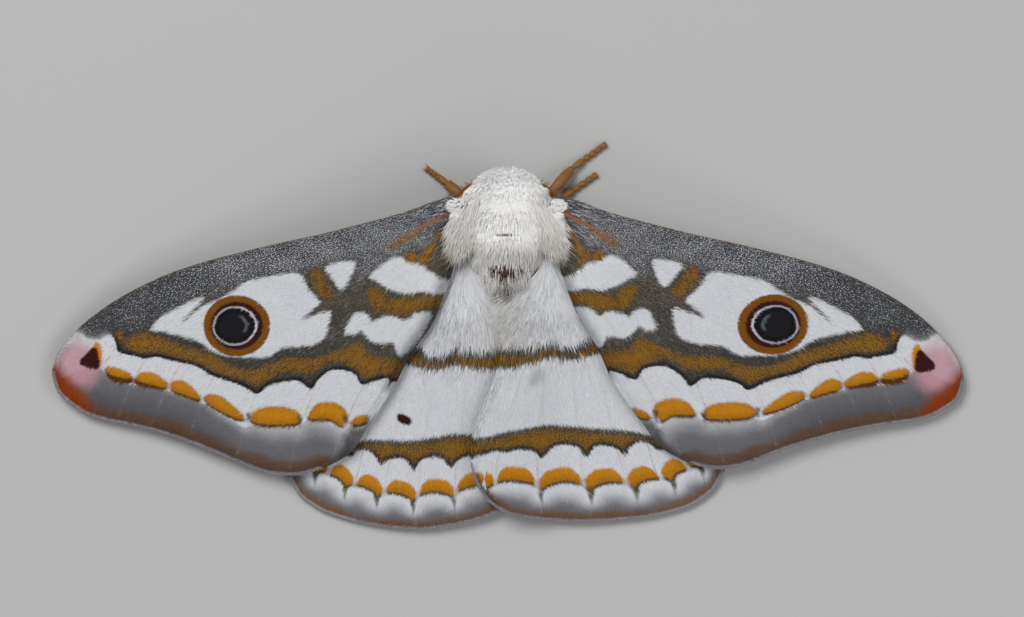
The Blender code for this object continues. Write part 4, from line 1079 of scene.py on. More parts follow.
def tuft_mesh(name, roots, normals, lies, shape, places, fields, rings, rng, sway=0.12):
    """A mesh of closed tufts. shape holds lengths, widths and lifts, and places are the roots on the map."""
    points, shades = tuft_points(roots, normals, lies, *shape, rings, rng, sway)
    kept = points[:, :, 2].min(axis=1) > FLOOR_GAP
    points, shades, places = points[kept], shades[kept], places[kept]
    fields = {key: values[kept] for key, values in fields.items()}
    number, count = points.shape[:2]
    faces, patch = tuft_pattern(rings)
    mesh = bpy.data.meshes.new(name)
    mesh.vertices.add(number * count)
    mesh.vertices.foreach_set("co", (points * MM).astype(np.float32).ravel())
    loops = np.concatenate([np.array(face) for face in faces])
    starts = np.cumsum([0] + [len(face) for face in faces[:-1]])
    tufts = np.arange(number)[:, None]
    mesh.loops.add(number * len(loops))
    mesh.loops.foreach_set("vertex_index", (loops + tufts * count).ravel().astype(np.int32))
    mesh.polygons.add(number * len(faces))
    mesh.polygons.foreach_set("loop_start", (starts + tufts * len(loops)).ravel().astype(np.int32))
    mesh.update(calc_edges=True)
    mesh.validate()
    uv = mesh.uv_layers.new(name="OFBake")
    spread = np.clip(places, TUFT_PATCH, 1 - TUFT_PATCH)[:, None, :] + patch * TUFT_PATCH
    uv.data.foreach_set("uv", spread.astype(np.float32).ravel())
    every = {key: np.repeat(values, count, axis=0) for key, values in fields.items() if key != "mark"}
    every["mark"] = back_marks(points.reshape(-1, 3))
    every["custom_normal"] = shades.reshape(-1, 3)
    every["rise"] = np.tile(np.append(np.repeat(np.arange(rings) / rings, TUFT_SIDES), 1.0), number)
    write_fields(mesh, every)
    return mesh


def wing_roots(wing, side, count, rng, density, lift):
    """Random roots on a wing, as dense as asked, with the surface's directions."""
    uv = rng.uniform(0, 1, (count * 5, 2))
    width = np.linalg.norm(wing.place(np.clip(uv + [0, 0.02], 0, 1)) - wing.place(uv), axis=1)
    weight = width * density(uv)
    chosen = rng.choice(len(uv), count, replace=False, p=weight / weight.sum())
    uv = uv[chosen]
    spot = wing.spot(side, uv, lift)
    outwards = unit(wing.spot(side, uv + [0.01, 0], lift) - wing.spot(side, uv - [0.01, 0], lift))
    across = wing.spot(side, uv + [0, 0.01], lift) - wing.spot(side, uv - [0, 0.01], lift)
    normal = unit(np.cross(outwards, across))
    return uv, spot, normal * np.sign(normal[:, 2])[:, None], outwards


def forewing_density(uv):
    """Denser scales near the base."""
    return 1.0 + 1.2 * (uv[:, 0] < 0.2)


def forewing_shape(uv, fields):
    """Length, width and lift of a forewing's scales: long hair at the base, short scales farther out."""
    base = 1.0 - smoothstep(uv[:, 0] / 0.2)
    held = 0.35 + 0.65 * smoothstep(fields["edge"] / 1.0)
    fine = 1.0 - 0.45 * smoothstep(fields["pepper"] + 0.5) * (1.0 - 0.4 * base)
    return (0.55 + 1.2 * base) * held * fine, (0.075 + 0.03 * base) * fine, 0.1 + 0.1 * base


def hindwing_density(uv):
    """Denser hair near the base and along the inner edge, where it shows."""
    return 0.3 + 2.0 * (uv[:, 1] > 0.3) + 2.0 * (uv[:, 0] < 0.45) * (uv[:, 1] > 0.45)


def hindwing_shape(uv, fields):
    """Length, width and lift of a hindwing's hair."""
    base = 1.0 - smoothstep((uv[:, 0] - 0.08) / 0.5)
    held = 0.35 + 0.65 * smoothstep(fields["margin"] / 1.0)
    return (0.55 + 2.0 * base) * held, 0.075 + 0.025 * base, 0.09 + 0.03 * base


def inner_lean(side, spot):
    """How the hindwing's hair leans: backwards, and inwards to the axis near the base."""
    near_base = smoothstep((spot[:, 1] + 3.0) / 7.0) * (1 - smoothstep((np.abs(spot[:, 0]) - 1.5) / 4.0))
    lean = np.zeros(spot.shape)
    lean[:, 0] = -np.sign(spot[:, 0]) * 0.9 * near_base
    lean[:, 1] = -0.35
    return lean


def no_lean(side, spot):
    """No lean at all."""
    return np.zeros(spot.shape)


def wing_coat(name, wing, side, count, rng, density, shape_of, lean, rings):
    """Hair or scales on a wing, lying from its root towards its margin."""
    lift = sizes().wing_wall / MM / 2
    uv, spot, normal, outwards = wing_roots(wing, side, count, rng, density, lift)
    lie = flatten_on(normal, outwards + lean(side, spot) + rng.normal(0, 0.12, spot.shape))
    length, width, lift = shape_of(uv, wing.fields(side, uv))
    vary = rng.uniform(0.7, 1.2, count)
    reach = np.linalg.norm(wing.edges["lead"][-1] - wing.edges["lead"][0])
    fields = wing.fields(side, np.column_stack([uv[:, 0] + 0.4 * length / reach, uv[:, 1]]))
    fields["tone"] = rng.uniform(0, 1, count)
    shape = (length * vary * sizes().coat_length, width * rng.uniform(0.75, 1.25, count), lift * vary)
    return tuft_mesh(name, spot, normal, lie, shape, uv, fields, rings, rng)


WING_COATS = [  # name, wing, tufts, density, sizes, lean, rings in a tuft
    ("forewing", FOREWING, 15000, forewing_density, forewing_shape, no_lean, 2),
    ("hindwing", HINDWING, 11000, hindwing_density, hindwing_shape, inner_lean, 3),
]


class MOTH_OT_wing_coats(bpy.types.Operator):
    """Adds the scales and the hair of the wings"""

    bl_idname = "moth.wing_coats"
    bl_label = "Wing Coats"

    def execute(self, context):
        rng = np.random.default_rng(sizes().seed)
        paint = bpy.data.materials.get("painted_scales")
        if paint is None:
            raise RuntimeError("The wings have to be added before their coats.")
        for side, word in SIDES:
            for kind, wing, count, density, shape_of, lean, rings in WING_COATS:
                name = f"{kind}_{word}_coat"
                mesh = wing_coat(name, wing, side, count, rng, density, shape_of, lean, rings)
                add_piece(name, mesh, paint)
        return {"FINISHED"}


# The body inside its coat, as in the solids: forwards, half width, lowest, highest
BODY_STATIONS = [
    (16.2, 1.0, 3.4, 5.0), (15.8, 1.9, 2.8, 5.9), (15.1, 2.6, 2.3, 6.6), (14.3, 3.1, 2.0, 7.1),
    (13.2, 3.6, 1.7, 7.7), (12.4, 3.8, 1.4, 8.2), (11.0, 4.1, 1.1, 8.8), (9.3, 4.3, 1.0, 9.0),
    (7.6, 4.0, 1.0, 8.3), (6.3, 3.6, 1.1, 7.0), (5.6, 3.5, 1.1, 5.05), (3.5, 3.55, 0.9, 5.05),
    (0.0, 3.5, 0.8, 4.75), (-3.0, 3.2, 0.8, 4.2), (-6.0, 2.7, 0.8, 3.3), (-8.6, 1.9, 0.8, 2.6),
    (-10.3, 0.8, 1.0, 2.0),
]
COAT_DEPTH = 0.35  # how far the skin lies inside the solids' body
SEGMENT_LENGTH = 2.15
SEGMENT_SWELL = 0.12
WAIST = 5.8
CUSHIONS = [  # swellings of the coat over the thorax: sideways, forwards, half width, half length, height
    (-1.15, 12.1, 1.0, 0.9, 0.2), (0.85, 12.1, 1.0, 0.9, 0.2), (0.0, 8.1, 2.2, 1.4, 0.25),
]
CREASES = [  # furrows of the coat: sideways, forwards, half width, half length, depth
    (0.1, 9.9, 1.4, 0.45, 0.3), (-3.0, 8.9, 0.5, 0.9, 0.4), (3.2, 9.1, 0.5, 1.0, 0.45),
]
BODY_LINE = smooth_line(BODY_STATIONS[::-1], 0.3)
FACE_END = BODY_STATIONS[0][0] - COAT_DEPTH
TAIL_END = BODY_STATIONS[-1][0] + COAT_DEPTH
END_ROUNDING = 16.0
FUR_BALLS = [  # balls of fur at a forewing's root and under the face: place, radii, way of the hair
    ((4.9, 12.9, 7.0), (0.9, 0.58, 0.4), (1.0, -0.6, 0.0)),
    ((4.8, 11.85, 7.05), (0.6, 0.38, 0.3), (1.0, -0.5, 0.0)),
    ((0.55, 15.7, 2.7), (0.4, 0.6, 0.45), (0.0, 0.6, -0.9)),
]
BALL_SKIN = 0.8  # radius of a ball's skin as a share of the ball's
EYE_CENTRE = (2.5, 14.35, 3.75)
EYE_RADIUS = 1.1


def body_girth(fore):
    """Half width, lowest and highest height of the solids' body at places along it."""
    return [np.interp(fore, BODY_LINE[:, 0], BODY_LINE[:, column]) for column in (1, 2, 3)]


def body_spot(fore, turn, out=0.0):
    """Points out millimetres off the solids' body. turn is 0 on the back and grows to the right."""
    half_width, low, high = body_girth(fore)
    out = out + SEGMENT_SWELL * np.cos(2 * np.pi * (WAIST - fore) / SEGMENT_LENGTH) * (fore < WAIST)
    x = (half_width + out) * np.sin(turn)
    z = (low + high) / 2 + ((high - low) / 2 + out) * np.cos(turn)
    for places, sign in ((CUSHIONS, 1.0), (CREASES, -1.0)):
        for side, along_body, width, length, height in places:
            bump = np.exp(-(((x - side) / width) ** 2) - ((fore - along_body) / length) ** 2)
            z = z + sign * height * bump * (np.cos(turn) > 0)
    return np.column_stack([x, fore, z])


def skin_spot(share, turn):
    """Points of the body's skin, a share of the way from the face to the tail. Its ends are rounded off."""
    fore = FACE_END + (TAIL_END - FACE_END) * share
    middle = (body_spot(fore, 0 * turn, -COAT_DEPTH) + body_spot(fore, 0 * turn + np.pi, -COAT_DEPTH)) / 2
    closing = np.clip(np.minimum(share, 1.0 - share) * END_ROUNDING, 0.0, 1.0)
    closing = np.sqrt(closing * (2.0 - closing))[:, None]
    return middle + (body_spot(fore, turn, -COAT_DEPTH) - middle) * closing


def body_skin():
    """The body's skin inside its coat: a ball drawn out from face to tail, and the small balls of fur."""
    bm = bmesh.new()
    bmesh.ops.create_uvsphere(bm, u_segments=96, v_segments=150, radius=1.0)
    share = np.arccos(np.clip([vert.co.z for vert in bm.verts], -1.0, 1.0)) / np.pi
    turn = np.arctan2([vert.co.x for vert in bm.verts], [vert.co.y for vert in bm.verts])
    for vert, spot in zip(bm.verts, skin_spot(share, turn)):
        vert.co = Vector(spot)
    for side, _ in SIDES:
        for centre, radii, _ in FUR_BALLS:
            ball = bmesh.ops.create_icosphere(bm, subdivisions=3, radius=BALL_SKIN)["verts"]
            bmesh.ops.scale(bm, verts=ball, vec=radii)
            bmesh.ops.translate(bm, verts=ball, vec=(side * centre[0], *centre[1:]))
    return finish_mesh("body_skin", bm)


def body_roots(count, fore_range, turns, rng):
    """Random roots spread evenly over a stretch of the body, with the surface's directions there."""
    shares = [(FACE_END - fore) / (FACE_END - TAIL_END) for fore in fore_range]
    share = rng.uniform(max(min(shares), 0.002), min(max(shares), 0.998), 6 * count)
    turn = rng.uniform(*turns, 6 * count)
    spot = skin_spot(share, turn)
    forwards = spot - skin_spot(share + 0.001, turn)
    around = skin_spot(share, turn + 0.02) - spot
    normal = np.cross(around, forwards)
    area = np.linalg.norm(normal, axis=1)
    in_eye = np.linalg.norm(np.abs(spot) - EYE_CENTRE, axis=1) < EYE_RADIUS + 0.05
    from_ends = np.minimum(spot[:, 1] - fore_range[0], fore_range[1] - spot[:, 1])
    weight = area * ~in_eye * (0.02 + smoothstep(from_ends / COAT_FEATHER))
    chosen = rng.choice(6 * count, count, replace=False, p=weight / weight.sum())
    return [values[chosen] for values in (turn, spot, unit(normal), unit(around))]


BODY_COATS = [  # name, forwards, turns, tufts, length, width
    ("head_coat", (12.3, 17.2), (-3.14, 3.14), 12000, 1.5, 0.095),
    ("collar_coat", (8.3, 13.3), (-2.2, 2.2), 10500, 1.9, 0.095),
    ("thorax_coat", (5.7, 9.3), (-2.6, 2.6), 8000, 1.8, 0.095),
    ("belly_coat", (4.5, 13.3), (2.0, 4.28), 2000, 1.3, 0.13),
    ("abdomen_coat", (-11.5, 5.9), (-3.14, 3.14), 3500, 1.3, 0.14),
]
COAT_FEATHER = 1.0  # length over which each coat thins out at its ends
COAT_THICKNESS = 0.34
SIDE_THICKNESS = 0.75  # added at the sides of the head and of the collar
FACE_SHORTENING = 0.35  # share of the hair's length that is missing at the face
FACE_THICKNESS = 0.4  # added at the face
FACE_FLOW = 1.2  # how strongly the hair of the face runs upwards
SIDE_FLOW = 0.4  # how strongly the hair of the sides runs downwards


def body_coat(name, fore_range, turns, count, length, width, rng):
    """Fur over a stretch of the body, lying backwards and down its sides, and standing up round the head."""
    turn, spot, normal, around = body_roots(count, fore_range, turns, rng)
    fore = spot[:, 1]
    aside = np.sin(turn)[:, None]
    at_face = smoothstep((fore - 14.0) / 1.8)
    flow = np.column_stack([0.0 * fore, -np.ones(count), FACE_FLOW * at_face])
    flow = flow + around * aside * SIDE_FLOW * (1.0 - at_face[:, None])
    lie = flatten_on(normal, flow + rng.normal(0, 0.12, spot.shape))
    length = length * (1.0 - FACE_SHORTENING * at_face)
    beside_head = aside[:, 0] ** 2 * smoothstep((fore - 10.5) / 2.5) * (1.0 - 0.7 * at_face)
    stand = COAT_THICKNESS + SIDE_THICKNESS * beside_head + FACE_THICKNESS * at_face
    lift = stand / (0.4 * length)
    tips = spot + lie * length[:, None] * 0.5
    length = length * rng.uniform(0.65, 1.15, count) * sizes().coat_length
    shape = (length, width * rng.uniform(0.7, 1.25, count), lift)
    across = (turn - turns[0]) / np.ptp(turns)
    places = np.column_stack([across, (fore - fore_range[0]) / np.ptp(fore_range)])
    fields = {"tone": rng.uniform(0, 1, count), "warm": beige_and_shade_share(tips)}
    return tuft_mesh(name, spot, normal, lie, shape, places, fields, 3, rng, 0.08)


BACK_SHADE = [  # how beige the coat is along the back, as painted shade that darkens its lower rear and a band where the collar meets the head: forwards, share
    (5.0, 0.8), (6.2, 0.75), (8.5, 0.68), (9.4, 0.55), (9.9, 0.3), (10.6, 0.25), (12.0, 0.32), (12.6, 0.5),
    (13.3, 0.42), (14.0, 0.1), (14.6, 0.0),
]


def beige_and_shade_share(spot):
    """How beige the coat is, partly painted shade and partly its own beige: a painted shadow in the furrow
    across the back, painted shade along the back, and beige at the sides over the wings.
    """
    aside = smoothstep((np.abs(spot[:, 0]) - 3.4) / 2.4) * smoothstep((10.6 - spot[:, 1]) / 3.0)
    # Painted shadow in the furrow across the back.
    furrow = np.exp(-(((spot[:, 0] - 0.1) / 1.1) ** 2) - ((spot[:, 1] - 9.85) / 0.25) ** 2)
    back = np.interp(spot[:, 1], *zip(*BACK_SHADE))
    return np.clip(np.maximum(np.maximum(back, 0.7 * aside), 0.6 * furrow), 0.0, 1.0)


def ball_roots(centre, radii, count, rng):
    """Random roots on a small ball of fur."""
    way = unit(rng.normal(0, 1, (count, 3)))
    return np.array(centre) + way * radii, unit(way / radii)


BALL_TUFTS = 620
BALL_HAIR = 0.55
REAR_TUFTS = 5500
SHOULDER_TUFTS = 3000
SHOULDER_OUT = (2.7, 5.2)
SHOULDER_FORE = (8.2, 13.2)
BALL_SHADE = 0.45  # share of beige in the small balls of fur, painted shade that darkens them
FLAT_HAIR_SHADE = 0.95  # share of beige in the long hair over the wings' roots, painted shade that darkens it as it lies flat and catches more light
SHOULDER_HAIR = 2.2
DIM_LINE = 5.3  # behind this slanting line the hair over the wings' roots turns olive


def rear_coat(rng):
    """Long hair that starts on the thorax and lies backwards and inwards over the hindwings' roots."""
    x = rng.uniform(-3.6, 3.6, REAR_TUFTS)
    fore = rng.uniform(5.9, 8.0, REAR_TUFTS)
    turn = np.arcsin(np.clip(x / 4.2, -1, 1))
    spot = body_spot(fore, turn, -COAT_DEPTH)
    normal = np.tile([0.0, 0.0, 1.0], (REAR_TUFTS, 1))
    inwards = -0.08 * x - 0.22 * np.sign(x) * smoothstep((np.abs(x) - 1.2) / 2.0)
    back = np.column_stack([inwards, np.full(REAR_TUFTS, -1.0), np.full(REAR_TUFTS, 0.0)])
    lie = unit(back + rng.normal(0, 0.09, spot.shape))
    length = rng.uniform(1.9, 3.2, REAR_TUFTS)
    shape = (length, rng.uniform(0.075, 0.115, REAR_TUFTS), np.full(REAR_TUFTS, 0.16))
    tips = spot + lie * length[:, None] * 0.6
    fields = {"tone": rng.uniform(0, 1, REAR_TUFTS), "warm": beige_and_shade_share(tips)}
    places = np.column_stack([x / 8.0 + 0.5, (fore - 5.9) / 2.1])
    return tuft_mesh("rear_coat", spot, normal, lie, shape, places, fields, 3, rng)


def shoulder_part(side, rng):
    """Long hair from the thorax's side out over a wing's root: its roots lie on the body or on the wing."""
    out = rng.uniform(*SHOULDER_OUT, SHOULDER_TUFTS)
    rearmost = 10.4 - 1.8 * smoothstep((out - 2.9) / 1.6) + rng.normal(0, 0.35, SHOULDER_TUFTS)
    foremost = SHOULDER_FORE[1] - 0.5 * (out - SHOULDER_OUT[0]) + rng.normal(0, 0.3, SHOULDER_TUFTS)
    fore = rearmost + (foremost - rearmost) * rng.uniform(0, 1, SHOULDER_TUFTS)
    half_width, low, high = body_girth(fore)
    share = np.clip(out / (half_width - COAT_DEPTH), 0.0, 1.0)
    body = (low + high) / 2 + ((high - low) / 2 - COAT_DEPTH) * np.sqrt(1.0 - share**2)
    plan = np.column_stack([side * out, fore])
    height = np.maximum(body, forewing_height(side, plan) + sizes().wing_wall / MM / 2)
    normal = unit(np.tile([0.3 * side, 0.0, 1.0], (SHOULDER_TUFTS, 1)))
    sideways = 0.2 + 0.3 * (out - SHOULDER_OUT[0]) / np.ptp(SHOULDER_OUT)
    way = np.column_stack([side * sideways, np.full(len(out), -1.0), np.full(len(out), 0.0)])
    lie = flatten_on(normal, way + rng.normal(0, 0.17, way.shape))
    length = SHOULDER_HAIR * rng.uniform(0.35, 1.1, len(out))
    from_rear = (fore - SHOULDER_FORE[0]) / np.ptp(SHOULDER_FORE)
    places = np.column_stack([out / 10.0 + 0.5 * (side > 0), from_rear])
    spot = np.column_stack([plan, height])
    return spot, normal, lie, length, np.full(len(out), 0.095), rng.uniform(0.3, 0.8, len(out)), places


def shoulder_coat(rng):
    """Fur over the wings' roots: long hair that lies over the wings, and small balls before them."""
    parts = []
    for side, _ in SIDES:
        parts.append(shoulder_part(side, rng))
        for number, (centre, radii, way) in enumerate(FUR_BALLS):
            spot, normal = ball_roots((side * centre[0], *centre[1:]), radii, BALL_TUFTS, rng)
            lie = flatten_on(normal, np.array([side * way[0], *way[1:]]) + rng.normal(0, 0.25, spot.shape))
            length = BALL_HAIR * rng.uniform(0.7, 1.1, BALL_TUFTS)
            places = (normal[:, :2] + 1) * 0.08 + [0.1 + 0.2 * number + 0.1 * (side > 0), 0.4]
            width = np.full(BALL_TUFTS, 0.085)
            parts.append((spot, normal, lie, length, width, np.full(BALL_TUFTS, 0.7), places))
    spot, normal, lie, length, width, lift, places = [np.concatenate(column) for column in zip(*parts)]
    tips = spot + lie * length[:, None] * 0.5
    # Painted shade: beige darkens the small balls and the long flat hair, a little less towards the front.
    flat_share = BALL_SHADE + (FLAT_HAIR_SHADE - BALL_SHADE) * smoothstep((length - 0.5) / 0.2)
    flat_share = flat_share * (0.75 + 0.25 * smoothstep((12.5 - spot[:, 1]) / 3.0))
    flat_share = flat_share + rng.normal(0, 0.08, len(spot))
    fields = {"tone": rng.uniform(0, 1, len(spot)), "warm": np.maximum(beige_and_shade_share(tips), flat_share)}
    fields["dim"] = smoothstep((0.6 * np.abs(tips[:, 0]) - tips[:, 1] + DIM_LINE) / 1.1)
    return tuft_mesh("shoulder_coat", spot, normal, lie, (length, width, lift), places, fields, 3, rng)


class MOTH_OT_body(bpy.types.Operator):
    """Adds the body's skin and its coat"""

    bl_idname = "moth.body"
    bl_label = "Body"

    def execute(self, context):
        tints = colours()
        rng = np.random.default_rng(sizes().seed + 1)
        fur = fur_paint("body_fur", tints.fur, tints.beige)
        mesh = body_skin()
        spots = mesh_points(mesh)
        fields = {"tone": np.full(len(spots), 0.7), "rise": np.zeros(len(spots))}
        fields["mark"] = back_marks(spots)
        fields["warm"] = beige_and_shade_share(spots)
        write_fields(mesh, fields)
        add_piece("body_skin", mesh, fur, ["head", "thorax", "abdomen"])
        for row in BODY_COATS:
            mesh = body_coat(*row, rng)
            add_piece(mesh.name, mesh, fur)
        for mesh in (shoulder_coat(rng), rear_coat(rng)):
            add_piece(mesh.name, mesh, fur)
        return {"FINISHED"}


FEMUR_RADIUS = 0.5
TIBIA_RADIUS = 0.56
TARSUS_RADIUS = 0.36
FOOT = 0.29
LEGS = {  # joints: hip, knee, ankle and toe
    "leg_fore_right": (1, [(1.8, 12.0, 2.2), (3.9, 13.6, 1.9), (6.6, 16.75, 0.85), (10.0, 19.2, FOOT)]),
    "leg_fore_left": (-1, [(1.8, 12.0, 2.2), (3.8, 13.3, 1.9), (6.0, 15.2, 0.85), (8.1, 16.75, FOOT)]),
    "leg_mid_right": (1, [(2.2, 9.6, 2.3), (5.1, 10.9, 2.7), (5.5, 13.7, 0.85), (9.05, 16.15, FOOT)]),
    "leg_mid_left": (-1, [(2.2, 9.6, 2.3), (5.2, 10.6, 2.7), (8.1, 10.9, 0.85), (11.9, 10.3, FOOT)]),
    "leg_hind_right": (1, [(2.0, 7.4, 2.3), (5.2, 5.2, 2.7), (7.6, 1.0, 0.85), (9.6, -3.6, FOOT)]),
    "leg_hind_left": (-1, [(2.0, 7.4, 2.3), (5.2, 5.2, 2.7), (7.6, 1.0, 0.85), (9.6, -3.6, FOOT)]),
}
# Girths along a part, as shares of its length and of its radius
FEMUR_PROFILE = [(0.0, 0.6), (0.1, 0.85), (0.4, 1.0), (0.8, 0.95), (0.97, 0.7)]
TIBIA_PROFILE = [(0.0, 0.55), (0.06, 0.72), (0.3, 0.85), (0.55, 1.0), (0.8, 0.95), (0.94, 0.8), (1.0, 0.55)]
LIMB_PROFILE = [(0.03, 0.62), (0.2, 0.78), (0.7, 0.98), (0.88, 0.95), (0.98, 0.66)]
LIMBS = 5
FIRST_LIMB = 0.32
TARSUS_DESCENT = 0.4  # share of the tarsus over which it comes down to the floor
CLAW_LENGTH = 0.28
CLAW_START = 0.2  # how far behind the foot's end a claw starts
CLAW_RADIUS = 0.07
TUBE_SIDES = 14
LEG_TUFTS = 1000
LOWEST_ROOT = 0.22  # no bristle grows below this height


def tube(bm, centres, radii, sides=TUBE_SIDES):
    """A closed round tube through points: a grid rolled up round them, welded and filled at its ends."""
    centres = np.array(centres, float)
    ways = unit(np.gradient(centres, axis=0))
    ups = np.tile([0.0, 0.0, 1.0], (len(centres), 1))
    ups[np.abs(ways[:, 2]) > 0.95] = [0.0, 1.0, 0.0]
    across = unit(np.cross(ways, ups))
    ups = np.cross(across, ways)
    verts = bmesh.ops.create_grid(bm, x_segments=len(centres) - 1, y_segments=sides, size=1.0)["verts"]
    for vert in verts:
        row = round((vert.co.x + 1) / 2 * (len(centres) - 1))
        turn = (vert.co.y + 1) * math.pi
        way = math.cos(turn) * across[row] + math.sin(turn) * ups[row]
        vert.co = Vector(centres[row] + radii[row] * way)
    merged = bmesh.ops.find_doubles(bm, verts=verts, dist=0.001)["targetmap"]
    bmesh.ops.weld_verts(bm, targetmap=merged)
    ends = [edge for vert in verts if vert.is_valid for edge in vert.link_edges if edge.is_boundary]
    bmesh.ops.holes_fill(bm, edges=list(set(ends)), sides=0)


def leg_parts(side, joints):
    """Lines of a leg's femur, tibia and five tarsus limbs with their radii, the last one on the floor."""
    hip, knee, ankle, toe = [np.array((side * out, fore, up)) for out, fore, up in joints]
    parts = []
    for start, end, radius, profile in (
        (hip, knee, FEMUR_RADIUS, FEMUR_PROFILE),
        (knee, ankle, TIBIA_RADIUS, TIBIA_PROFILE),
    ):
        line = [start + (end - start) * share for share, _ in profile]
        parts.append((line, [radius * girth for _, girth in profile]))
    rest = (1.0 - FIRST_LIMB) / (LIMBS - 1)
    for number in range(LIMBS):
        start = FIRST_LIMB + rest * (number - 1) if number else 0.0
        length = rest if number else FIRST_LIMB
        line = []
        for share, _ in LIMB_PROFILE:
            place = start + length * share
            point = ankle + (toe - ankle) * place
            point[2] = toe[2] + (ankle[2] - toe[2]) * (1.0 - smoothstep(place / TARSUS_DESCENT))
            line.append(point)
        parts.append((line, [TARSUS_RADIUS * girth * (1.0 - 0.04 * number) for _, girth in LIMB_PROFILE]))
    return parts


def add_claws(bm, side, joints):
    """Two small curved claws at a foot's end."""
    ankle, toe = [np.array((side * out, fore, up)) for out, fore, up in joints[2:]]
    way = unit((toe - ankle)[None, :] * [1, 1, 0])[0]
    across = np.array([way[1], -way[0], 0.0])
    for turn in (-1, 1):
        steps = np.linspace(0, 1, 6)[:, None]
        line = toe + way * (CLAW_LENGTH * steps - CLAW_START) + across * turn * (0.08 + 0.04 * steps)
        line = line - np.array([0, 0, 0.2]) * steps**2
        tube(bm, line, CLAW_RADIUS * (1.15 - steps[:, 0]), 8)


def leg_coat(name, side, joints, count, rng):
    """Short fur on a leg's femur and tibia and bristles on its limbs, all lying towards the foot."""
    parts = leg_parts(side, joints)
    reach = np.array([np.linalg.norm(np.array(line[-1]) - line[0]) for line, _ in parts])
    share = reach / reach.sum()
    columns = []
    for (line, radii), portion, offset in zip(parts, share, np.cumsum(share) - share):
        number = round(count * portion)
        line = np.array(line)
        t = rng.uniform(0.02, 0.95, number)
        turn = rng.uniform(0, 2 * np.pi, number)
        lengths = np.append(0.0, np.cumsum(np.linalg.norm(np.diff(line, axis=0), axis=1)))
        rows = lengths / lengths[-1]
        centre = np.stack([np.interp(t, rows, line[:, axis]) for axis in range(3)], axis=1)
        way = unit((line[-1] - line[0])[None, :]) * np.ones((number, 1))
        across = unit(np.cross(way, [0.0, 0.0, 1.0]))
        normal = np.cos(turn)[:, None] * across + np.sin(turn)[:, None] * np.cross(across, way)
        spot = centre + normal * np.interp(t, rows, radii)[:, None] * 0.97
        places = np.column_stack([turn / (2 * np.pi), offset + t * portion])
        columns.append((spot, normal, way, places))
    spot, normal, way, places = [np.concatenate(column) for column in zip(*columns)]
    keep = spot[:, 2] > LOWEST_ROOT
    spot, normal, way, places = spot[keep], normal[keep], way[keep], places[keep]
    number = len(spot)
    lie = flatten_on(normal, way + rng.normal(0, 0.15, spot.shape))
    length = rng.uniform(0.2, 0.42, number)
    shape = (length, rng.uniform(0.04, 0.07, number), rng.uniform(0.2, 0.45, number))
    fields = {"tone": rng.uniform(0, 1, number), "warm": np.zeros(number)}
    return tuft_mesh(name, spot, normal, lie, shape, places, fields, 2, rng)


class MOTH_OT_legs(bpy.types.Operator):
    """Adds the six legs with their claws and fur"""

    bl_idname = "moth.legs"
    bl_label = "Legs"

    def execute(self, context):
        tints = colours()
        rng = np.random.default_rng(sizes().seed + 2)
        shell = Paint("leg_shell", {"Roughness": 0.55})
        spots = shell.node("TexCoord", output="Object")
        grain = shell.noise(spots, 9000.0)
        tint = shell.shade(shell.mix(grain, tints.leg, tints.leg_dark), 0.75 + 0.4 * grain)
        shell = shell.finish(tint, grain, 0.00005)
        fur = fur_paint("leg_fur", tints.leg, tints.leg_dark)
        for name, (side, joints) in LEGS.items():
            bm = bmesh.new()
            for line, radii in leg_parts(side, joints):
                line = smooth_line(line, 0.12)
                rows = np.linspace(0, 1, len(radii))
                tube(bm, line, np.interp(np.linspace(0, 1, len(line)), rows, radii))
            add_claws(bm, side, joints)
            for vert in bm.verts:
                vert.co.z = max(vert.co.z, 0.0)
            mesh = finish_mesh(f"{name}_shell", bm)
            add_piece(mesh.name, mesh, shell, [name])
            mesh = leg_coat(f"{name}_coat", side, joints, LEG_TUFTS, rng)
            add_piece(mesh.name, mesh, fur)
        return {"FINISHED"}


FEELER_PATH = [
    (1.0, 15.0, 5.1), (2.3, 15.3, 4.9), (3.65, 14.95, 4.5), (4.8, 14.1, 4.1), (6.2, 13.0, 3.7),
    (8.0, 11.8, 3.5), (10.4, 10.4, 3.3), (12.6, 9.0, 3.2),
]
FEELER_RADIUS = 0.17
RAY_PAIRS = 34
RAY_START = 0.16
RAY_LENGTH = 0.95
RAY_WIDTH = 0.11


